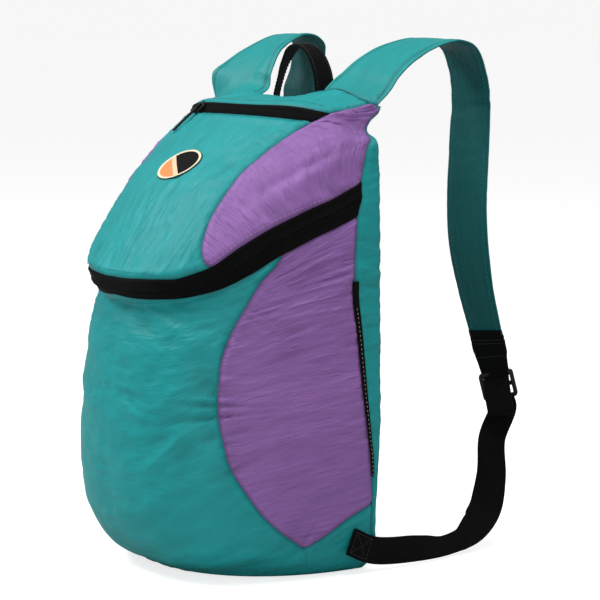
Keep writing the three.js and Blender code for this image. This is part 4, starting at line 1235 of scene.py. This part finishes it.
def make_end_tab(strap):
    """The black tab that narrows from the strap to the adjuster, with ribs sewn across it."""
    half = strap.line.width[-1] * strap_width / 2
    rows = [(-0.005, half * 1.01, 8), (tab_drop * 0.35, half * 0.95, 14),
            (tab_drop * 0.7, half * 0.74, 28), (tab_drop + 0.006, web_width / 2, lock_yaw)]
    points = [strap.end + strap.down * along for along, _, _ in rows]
    yaws = [yaw for _, _, yaw in rows]
    line = Line(points, [h for _, h, _ in rows], yaws, [0, 0, 0, 0], 0.0012)

    def relief(run, across):
        ribs = sum(0.0006 * np.exp(-((run - at) / 0.0012) ** 2) for at in (0.007, 0.0115, 0.0235))
        return np.broadcast_to(ribs, across.shape)

    thing = band(f"end_tab_{strap.name}", line, line.width, tab_thickness, 12, relief)
    threads = []
    for at in (0.0092, 0.0135, 0.0258):
        k = int(np.argmin(np.abs(line.run - at)))
        for way in (-1, 1):
            normal = way * line.normal[k]
            reach = np.linspace(-1, 1, 12)[:, None] * (line.width[k] - 0.002)
            row = line.centre[k] + line.across[k] * reach + normal * (tab_thickness * 0.5)
            threads.append(stitches(row, np.tile(normal, (12, 1)), "tab_threads", 0.003, 0.002))
    return thing, join_as(f"tab_stitches_{strap.name}", threads)


# The webbing folds over at its lowest bend: how far its inner edge strays along its length
WEB_FOLD = [
    (0, 0), (0.18, 0.0008), (0.26, 0.0032), (0.34, 0.0058), (0.41, 0.0060), (0.47, 0.0040),
    (0.51, 0.0004), (0.55, -0.0048), (0.62, -0.0056), (0.70, -0.0020), (0.78, 0), (1, 0),
]
web_fold = Smooth(*zip(*WEB_FOLD))
# Where the webbing meets the bag's back corner, and where it is sewn: level, turn, yaw, rise
WEB_SEATS = [(1.35, 0.985, 80, 0), (1.55, 0.9, 88, 0.012)]


def make_webbing(strap):
    """The lower webbing, from behind the adjuster to the bag's lower back corner."""
    how = strap.how
    below = strap.lock_centre + strap.down * (lock_height / 2 + web_gap)
    off = web_thickness / 2 + strap_gap + web_play
    places = [(below, lock_yaw, 0), (below + strap.down * web_lead, lock_yaw, 0)]
    for out, back, up, yaw, roll in WEB_LINE[:-1]:
        point = np.array([
            how["spread"] * strap_spread + out * millimetre,
            back * strap_reach * how["reach"] + base_depth / 2,
            up * web_drop,
        ])
        places.append((point, yaw, roll))
    low, last_roll = WEB_LINE[-1][2] * web_drop, WEB_LINE[-1][4]
    for level, turn, yaw, rise in WEB_SEATS:
        turn *= how["side"]
        seat = form(level, turn) + form_normal(level, turn) * off
        places.append((np.array([abs(seat[0]), seat[1], low + rise]), yaw, last_roll))
    points, yaws, rolls = zip(*places)
    line = Line(points, [1] * len(points), yaws, rolls, 0.0018)
    wider = web_fold(line.run / line.total)
    line.centre = line.centre - line.across * (wider / 2)[:, None]
    corner = 0.5 * line.total

    def relief(run, across):
        crease = 0.0014 * np.exp(-((run - corner - across * 0.7) / 0.004) ** 2)
        return web_ribs(run, across, 400 if strap.name == "right" else 420) - crease

    half = web_width / 2 + wider / 2
    thing = band(f"webbing_{strap.name}", line, half, web_thickness, 14, relief, 0.45)
    threads = [box_of_stitches(line, -0.024, -0.003, web_thickness / 2)]
    return thing, join_as(f"webbing_stitches_{strap.name}", threads)


def web_ribs(run, across, seed):
    """Two low lengthwise ribs, and a slow wave of the soft tape."""
    ribs = 0.00012 * np.cos(across / web_width * 2 * math.pi * 3)
    wave = 0.0005 * ripple(run / 0.018, seed) * np.cos(across / web_width * math.pi)
    return ribs + wave


def box_of_stitches(line, start, end, lift):
    """A sewn box with a cross in it, on the outer face near the end of a line."""
    low, high = line.total + start, line.total + end
    half = web_width / 2 - 0.003
    corners = [(low, -half), (high, -half), (high, half), (low, half), (low, -half), (high, half)]
    corners += [(high, -half), (low, half)]
    rows, ups = [], []
    for (r0, a0), (r1, a1) in zip(corners, corners[1:]):
        for t in np.linspace(0, 1, 12, endpoint=False):
            run, reach = r0 + (r1 - r0) * t, a0 + (a1 - a0) * t
            k = int(np.argmin(np.abs(line.run - run)))
            rows.append(line.centre[k] + line.across[k] * reach - line.normal[k] * lift)
            ups.append(-line.normal[k])
    return stitches(np.array(rows), np.array(ups), "box_threads", 0.0034, 0.0022)


def make_tail(strap):
    """The webbing's loose end, which comes up in front of the adjuster and curls away."""
    out = lock_thickness / 2 + strap_gap + web_thickness / 2
    rows = [(0, 0), (0.3, 0.5), (0.62, 0.9), (0.9, 1), (1, 0.75)]
    points = [
        strap.lock_centre + strap.down * (down * tail_length - lock_height * tail_start)
        - strap.lock_normal * (out + away * tail_reach)
        for down, away in rows
    ]
    line = Line(points, [1] * 5, [0] * 5, [0] * 5, 0.0016)
    line.across = np.tile(strap.lock_side, (len(line.run), 1))
    line.settle()

    def relief(run, across):
        return web_ribs(run, across, 440)

    name = f"webbing_tail_shown_{strap.name}"
    return band(name, line, web_width / 2, web_thickness, 12, relief, 0.45)


def make_haul_loop():
    seam = ridge_at(0)
    points = [(side * haul_span, seam[1] + haul_width / 2 + seam_gap + haul_seat,
               seam[2] + up * haul_rise) for side, up, _ in HAUL_LINE]
    yaws = [90 + yaw for _, _, yaw in HAUL_LINE]
    line = Line(points, [1] * len(points), yaws, [0] * len(points), 0.0018)

    def relief(run, across):
        ribs = 0.00012 * np.cos(across / haul_width * 2 * math.pi * 3)
        return 0.0003 * ripple(run / 0.012, 460) + ribs

    thing = band("haul_loop_shown", line, haul_width / 2, haul_thickness, 12, relief, 0.45)
    threads = []
    for way in (-1, 1):
        normal = way * line.normal
        for edge in (-1, 1):
            sewn = line.centre + line.across * edge * (haul_width / 2 - 0.0022)
            sewn = (sewn + normal * haul_thickness * 0.48)[4:-4]
            threads.append(stitches(sewn, normal[4:-4], "loop_threads", 0.0036, 0.0023))
    return thing, join_as("haul_loop_stitches", threads)


def bevel(thing, width, angle):
    only(thing)
    bpy.ops.object.modifier_add(type="BEVEL")
    edge = thing.modifiers["Bevel"]
    edge.width = width
    edge.segments = 3
    edge.limit_method = "ANGLE"
    edge.angle_limit = math.radians(angle)
    bpy.ops.object.modifier_apply(modifier="Bevel")


def bevelled_copy(node, name, width):
    """A CAD node's shape as a new piece with rounded edges."""
    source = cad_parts[node]
    thing = bpy.data.objects.new(name, source.data.copy())
    bpy.context.scene.collection.objects.link(thing)
    weld(thing, 0.00002)
    edit_all(thing, bpy.ops.mesh.dissolve_limited, angle_limit=math.radians(2))
    bevel(thing, width, 40)
    bpy.ops.object.shade_smooth_by_angle(angle=math.radians(35))
    return thing


# Zips
COIL_RIDGE_HALF, COIL_RISE = 0.0036, 0.0011
SLIT_DEPTH, SLIT_WIDTH = 0.0009, 0.0006
TOOTH_HEIGHT, TOOTH_PITCH = 0.00013, 0.0026


def make_zip(name, place, size, spacing):
    """A closed zip: two tapes that meet over the hidden coil, which lifts them in a low ridge."""
    height = size[0]
    patch = Patch(place, *size, spacing)
    low, high = patch.level[0, 0], patch.level[-1, 0]
    share = (patch.level - low) / (high - low)
    from_middle = (share - 0.5) * height
    ridge = np.exp(-np.abs(from_middle / COIL_RIDGE_HALF) ** 4)
    slit = SLIT_DEPTH * np.exp(-(from_middle / SLIT_WIDTH) ** 2)
    turns = patch.run_round
    teeth = TOOTH_HEIGHT * np.sin(turns * 2 * math.pi / TOOTH_PITCH) * ridge
    edge = np.minimum(share, 1 - share) * height
    hem = 0.0007 * np.exp(-((edge - 0.0022) / 0.0014) ** 2) - 0.0012 * np.exp(-(edge / 0.001) ** 2)
    wave = 0.0005 * ripple(turns / 0.021, 500) * np.sin(np.pi * share)
    scale = min(1.0, height / 0.02)
    rise = (COIL_RISE * ridge - slit + teeth + hem) * scale + wave
    points = patch.points + patch.normals() * rise[..., None]
    return mesh_from(f"{name}_shown", points, patch.faces(), np.stack([turns, patch.run_up], -1))


FIRST_SEED = 200


def make_panels(seams):
    """Every cloth panel at its full detail, as open sheets by name."""
    coarse = [Patch(place, *size, trial_spacing) for _, place, size, *_ in PANELS]
    moves = wrinkle_by_cloth(coarse, [row[3] for row in PANELS])
    sheets = {}
    for k, (row, trial, moved) in enumerate(zip(PANELS, coarse, moves)):
        name, place, size = row[:3]
        fine = Patch(place, *size, broad_spacing if name in ("front", "back") else fine_spacing)
        rows = blend_matrix(trial.rows, fine.rows)
        columns = blend_matrix(trial.columns, fine.columns)
        lift = np.einsum("ai,ijk,bj->abk", rows, moved, columns)
        edge = np.ones(lift.shape[:2])
        edge[0], edge[-1], edge[:, 0], edge[:, -1] = 0, 0, 0, 0
        sheets[name] = finish_panel(row, fine, lift * edge[..., None], seams, FIRST_SEED + 10 * k)
    return sheets


def make_bottom():
    """The flat base, a fan of rings inside the outline of the lowest section."""
    turns = np.concatenate([stretch(-1, 1, 160), stretch(1.02, 1.98, 40), stretch(-1.98, -1.02, 40)])
    outline = form(0.0, turns)
    middle = np.array([0, outline[:, 1].mean(), 0])
    shares = [k / 26 for k in range(26, 0, -1)]
    points = []
    for share in shares:
        ring = middle + (outline - middle) * share
        x, y = ring[:, 0], ring[:, 1]
        ring[:, 2] = 0.0002 + 0.0005 * creases(x / 0.02, y / 0.02, 520) * (1 - share ** 8)
        points.append(ring)
    points = np.concatenate([*points, middle[None] + [[0, 0, 0.0004]]])
    count = len(outline)
    last = (len(shares) - 1) * count
    faces = list(quads(len(shares), count, True))
    for k in range(count):
        faces.append((last + k, last + (k + 1) % count, len(points) - 1))
    return mesh_from("bottom_shown", points, faces, points[:, :2].copy())


SHEETS = [
    # piece, panels, CAD node, flat size
    ("front_panel_shown", "front corner_right corner_left", "lower_front_panel", (0.62, 0.30)),
    *[(f"side_panel_shown_{side}", f"side_{side}", f"lower_side_panel_{side}", (0.19, 0.28))
      for _, side in SIDES],
    ("lid_shown", "lid", "lid_panel", (0.26, 0.19)),
    ("yoke_shown", "yoke", "yoke_panel", (0.24, 0.06)),
    *[(f"wing_shown_{side}", f"wing_{side}", f"lid_side_panel_{side}", (0.14, 0.16))
      for _, side in SIDES],
    ("back_shown", "back", "back_panel", (0.34, 0.42)),
]


def build_bag():
    seams = make_seams()
    sheets = make_panels(seams)
    for name, panels, node, flat in SHEETS:
        thing = join_as(name, [sheets[key] for key in panels.split()])
        weld(thing)
        thicken(thing, cloth_thickness)
        if panels.startswith(("side", "wing")):
            dress(thing, violet, "violet_cloth", node)
        else:
            dress(thing, teal, "teal_cloth", node)
    bottom = make_bottom()
    if bottom.data.polygons[0].normal.z > 0:
        bottom.data.flip_normals()
    thicken(bottom, cloth_thickness)
    dress(bottom, teal, "teal_cloth", "bottom_panel")
    for name, node, place, size, spacing in BANDS:
        thing = make_zip(name, place, size, spacing)
        thicken(thing, tape_thickness)
        dress(thing, zip_tape, "black_tape", node)


def build_straps():
    for name in STRAP_SIDES:
        strap = Strap(name)
        shown, sewn = make_strap(strap)
        tab, tab_threads = make_end_tab(strap)
        web, web_threads = make_webbing(strap)
        pieces = [
            (shown, teal_strap, "teal_cloth", f"shoulder_strap_{name}"),
            (sewn, teal_thread, "teal_cloth"),
            (tab, webbing, "webbing", f"strap_end_tab_{name}"),
            (tab_threads, black_thread, "webbing"),
            (web, webbing, "webbing", f"lower_webbing_{name}"),
            (web_threads, black_thread, "webbing"),
            (make_tail(strap), webbing, "webbing", f"webbing_tail_{name}"),
        ]
        for thing, material, slot, *nodes in pieces:
            if strap.how["side"] < 0:
                mirror_x(thing)
            point_outwards(thing)
            dress(thing, material, slot, *nodes)
        lock = bevelled_copy(f"ladder_lock_{name}", f"adjuster_{name}", 0.0007)
        dress(lock, plastic, "moulded_black", f"ladder_lock_{name}")
    loop, loop_threads = make_haul_loop()
    point_outwards(loop)
    dress(loop, webbing, "webbing", "haul_loop")
    dress(loop_threads, black_thread, "webbing")


TOPSTITCH_LIFT = 0.0007


def topstitch(name, level, turns, material, slot):
    """A line of stitches along one level of the form, lying on the cloth."""
    levels = np.full(len(turns), level)
    normals = form_normal(levels, turns)
    threads = stitches(form(levels, turns) + normals * TOPSTITCH_LIFT, normals, name)
    dress(threads, material, slot)


def build_topstitching():
    level, share = BAND_TOP + 0.13, np.linspace(0.02, 0.98, 90)
    for side, name in SIDES:
        start = abs(float(lid_turn(level, side)))
        turns = side * (start + (gusset_seam(level) - start) * share)
        topstitch(f"wing_topstitch_{name}", level, turns, violet_thread, "violet_cloth")
    across = np.linspace(-0.98, 0.98, 120)
    for name, level in (("lid_topstitch_low", BAND_TOP + 0.09),
                        ("lid_topstitch_high", ZIP_LOW - 0.12),
                        ("yoke_topstitch", ZIP_TOP + 0.3)):
        topstitch(name, level, lid_turn(level, across), teal_thread, "teal_cloth")


# Badge, slider and the side tape
BADGE_SEAT = (8.68, -0.03, 15)


def make_badge():
    level, turn, tilt = BADGE_SEAT
    step = 0.05
    per_level = np.linalg.norm(form(level + step, turn) - form(level - step, turn)) / (2 * step)
    per_turn = np.linalg.norm(form(level, turn + step) - form(level, turn - step)) / (2 * step)
    cos, sin = math.cos(math.radians(tilt)), math.sin(math.radians(tilt))
    rings, sides = 26, 96
    radius = np.linspace(1, 0.001, rings)[:, None]
    angle = np.linspace(0, 2 * math.pi, sides, endpoint=False)[None]
    radius, angle = np.broadcast_arrays(radius, angle)
    long = radius * badge_length * np.cos(angle) / 2
    short = radius * badge_width * np.sin(angle) / 2
    across, up = long * cos - short * sin, long * sin + short * cos
    levels, turns = level + up / per_level, turn + across / per_turn
    rim = 0.0008 * np.exp(-((radius - 0.93) / 0.055) ** 2) * (1 + 0.12 * np.sin(angle * 90))
    lift = 0.0013 + rim - 0.0009 * (radius > 0.995)
    points = form(levels, turns) + form_normal(levels, turns) * lift[..., None]
    faces = list(quads(rings, sides, True))
    faces.append(range((rings - 1) * sides, rings * sides))
    uv = np.stack([radius * np.cos(angle), radius * np.sin(angle)], -1)
    thing = mesh_from("oval_patch", points, faces, uv)
    thicken(thing, 0.0011)
    return thing


SLIDER_SEAT = (10.55, -0.27)
PULL_TOWARD = (9.5, -0.35)


def make_slider():
    """The slider's two plates with its bridge, and the pull that hangs over the lid."""
    start, toward = np.array(SLIDER_SEAT), np.array(PULL_TOWARD)
    shares = np.linspace(0, 1.6, 120)
    walked = form(*(start[:, None] + (toward - start)[:, None] * shares))
    run = runs(walked)

    def at(distance, lift):
        place = start + (toward - start) * np.interp(distance, run, shares)
        normal = form_normal(*place)
        ahead = (toward - start) * 0.02
        path = unit(form(*(place + ahead)) - form(*(place - ahead)))
        return form(*place) + normal * lift, path, normal, np.cross(path, normal)

    def block(name, distance, lift, size, width=0.0006):
        centre, path, normal, side = at(distance, lift)
        bpy.ops.object.select_all(action="DESELECT")
        bpy.ops.mesh.primitive_cube_add(size=1)
        thing = bpy.context.active_object
        thing.name = name
        turn = Matrix((Vector(path), Vector(side), Vector(normal))).transposed().to_4x4()
        place = Matrix.Translation(Vector(centre)) @ turn
        thing.data.transform(place @ Matrix.Diagonal((*size, 1)))
        bevel(thing, width, 30)
        return thing

    body = slider_length
    parts = [
        block("plate", body * 0.5, 0.0030, (body, slider_width, 0.0016)),
        block("bridge", body * 0.45, 0.0052, (body * 0.7, 0.0026, 0.0022)),
        block("eye", body * 0.95, 0.0050, (0.006, 0.0052, 0.0014)),
    ]
    for k in range(7):
        parts.append(block(f"pull_{k}", body + 0.001 + pull_length * (0.07 + 0.145 * k),
                           0.0044 - 0.0003 * k, (pull_length * 0.19, 0.0044, 0.0018), 0.0004))
    thing = join_as("zip_slider_shown", parts)
    bpy.ops.object.shade_smooth_by_angle(angle=math.radians(40))
    return thing


TAPE_LOW, TAPE_HIGH, TAPE_FULL, TAPE_DOTS_TO = 2.3, 4.3, 3.925, 4.05
TAPE_NARROW = 0.35


def make_side_tape(side, name):
    levels = np.linspace(TAPE_LOW, TAPE_HIGH, 90)
    turns = side * gusset_seam(levels)
    normals = form_normal(levels, turns)
    ups = unit(form(levels + 0.1, turns) - form(levels - 0.1, turns))
    across = np.cross(normals, ups)
    climbed = (levels - TAPE_LOW) / (TAPE_FULL - TAPE_LOW)
    half = side_tape_width * np.minimum(1, TAPE_NARROW + (1 - TAPE_NARROW) * climbed) / 2
    centre = form(levels, turns) + normals * 0.0009
    s = np.linspace(-1, 1, 7)
    reach = s[None] * half[:, None]
    points = centre[:, None] + across[:, None] * reach[..., None]
    points = points + normals[:, None] * (0.0005 * (1 - s ** 4))[None, :, None]
    run = runs(centre)
    uv = np.stack([np.broadcast_to(run[:, None], reach.shape), reach], -1)
    thing = mesh_from(f"side_tape_shown_{name}", points, quads(len(levels), len(s)), uv)
    thicken(thing, 0.0007)
    shown = levels < TAPE_DOTS_TO
    dots = stitches((centre + normals * 0.0006)[shown], normals[shown], f"tape_dots_{name}",
                    0.0040, 0.0018, 0.0004)
    return thing, dots


def build_fittings():
    dress(make_badge(), patch_cloth, "badge_cloth", "badge")
    dress(make_slider(), plastic, "moulded_black", "top_zip_slider")
    for side, name in SIDES:
        tape, dots = make_side_tape(side, name)
        dress(tape, zip_tape, "black_tape", f"side_tape_{name}")
        dress(dots, cream_thread, "black_tape")


# The scene round the bag. The floor and the sky look paler to the camera than the light they
# give, so that the background is pale and the bag isn't washed out.
FLOOR_GLOW, SKY_LIGHT, SKY_SEEN = 0.74, 0.32, 0.93
LAMPS = [
    # name, place, size, power in watts
    ("key", (-1.3, -1.5, 2.3), 0.7, 50),
    ("top", (0.5, -0.2, 2.6), 1.2, 34),
    ("fill", (2.2, -2.4, 0.9), 1.6, 27),
    ("rim", (0.8, 2.0, 1.9), 1.0, 12),
]


def build_stage():
    bpy.ops.object.select_all(action="DESELECT")
    bpy.ops.mesh.primitive_plane_add(size=60, location=(0, 0, -0.0005))
    floor = bpy.context.active_object
    floor.name = "floor"
    s = Shader("pale_floor", (0.55, 0.55, 0.55), 0.8)
    s.tint(s.noise(s.object_place(), 3.0), 0.98, 1.02)
    s.surface.inputs["Emission Color"].default_value = (1, 1, 1, 1)
    seen = s.node("ShaderNodeLightPath").outputs["Is Camera Ray"]
    s.link(s.maths("MULTIPLY", seen, FLOOR_GLOW), s.surface.inputs["Emission Strength"])
    floor.data.materials.append(s.material)
    world = bpy.data.worlds.new("studio")
    bpy.context.scene.world = world
    world.use_nodes = True
    tree = world.node_tree
    seen = tree.nodes.new("ShaderNodeLightPath").outputs["Is Camera Ray"]
    glow = tree.nodes.new("ShaderNodeMapRange")
    glow.inputs["To Min"].default_value = SKY_LIGHT
    glow.inputs["To Max"].default_value = SKY_SEEN
    tree.links.new(seen, glow.inputs["Value"])
    tree.nodes["Background"].inputs[0].default_value = (1, 1, 1, 1)
    tree.links.new(glow.outputs[0], tree.nodes["Background"].inputs[1])
    for name, place, size, power in LAMPS:
        lamp = bpy.data.lights.new(name, "AREA")
        lamp.energy = power
        lamp.size = size
        light = bpy.data.objects.new(name, lamp)
        light.location = place
        aim = Vector((0, 0, 0.22)) - light.location
        light.rotation_euler = aim.to_track_quat("-Z", "Y").to_euler()
        bpy.context.scene.collection.objects.link(light)
    bpy.context.scene.view_settings.view_transform = "Standard"


def build_camera():
    """The photograph's view: from the bag's front right, a little above it."""
    azimuth, elevation, distance = math.radians(54), math.radians(7.2), 2.0
    target = Vector((0.128, -0.010, 0.252))
    level = math.cos(elevation)
    back = Vector((math.sin(azimuth) * level, -math.cos(azimuth) * level, math.sin(elevation)))
    lens = bpy.data.cameras.new("camera")
    lens.sensor_width = 36
    lens.lens = 138.12
    eye = bpy.data.objects.new("camera", lens)
    eye.location = target + back * distance
    eye.rotation_euler = back.to_track_quat("Z", "Y").to_euler()
    bpy.context.scene.collection.objects.link(eye)
    bpy.context.scene.camera = eye


build_camera()
build_bag()
build_straps()
build_topstitching()
build_fittings()
build_stage()
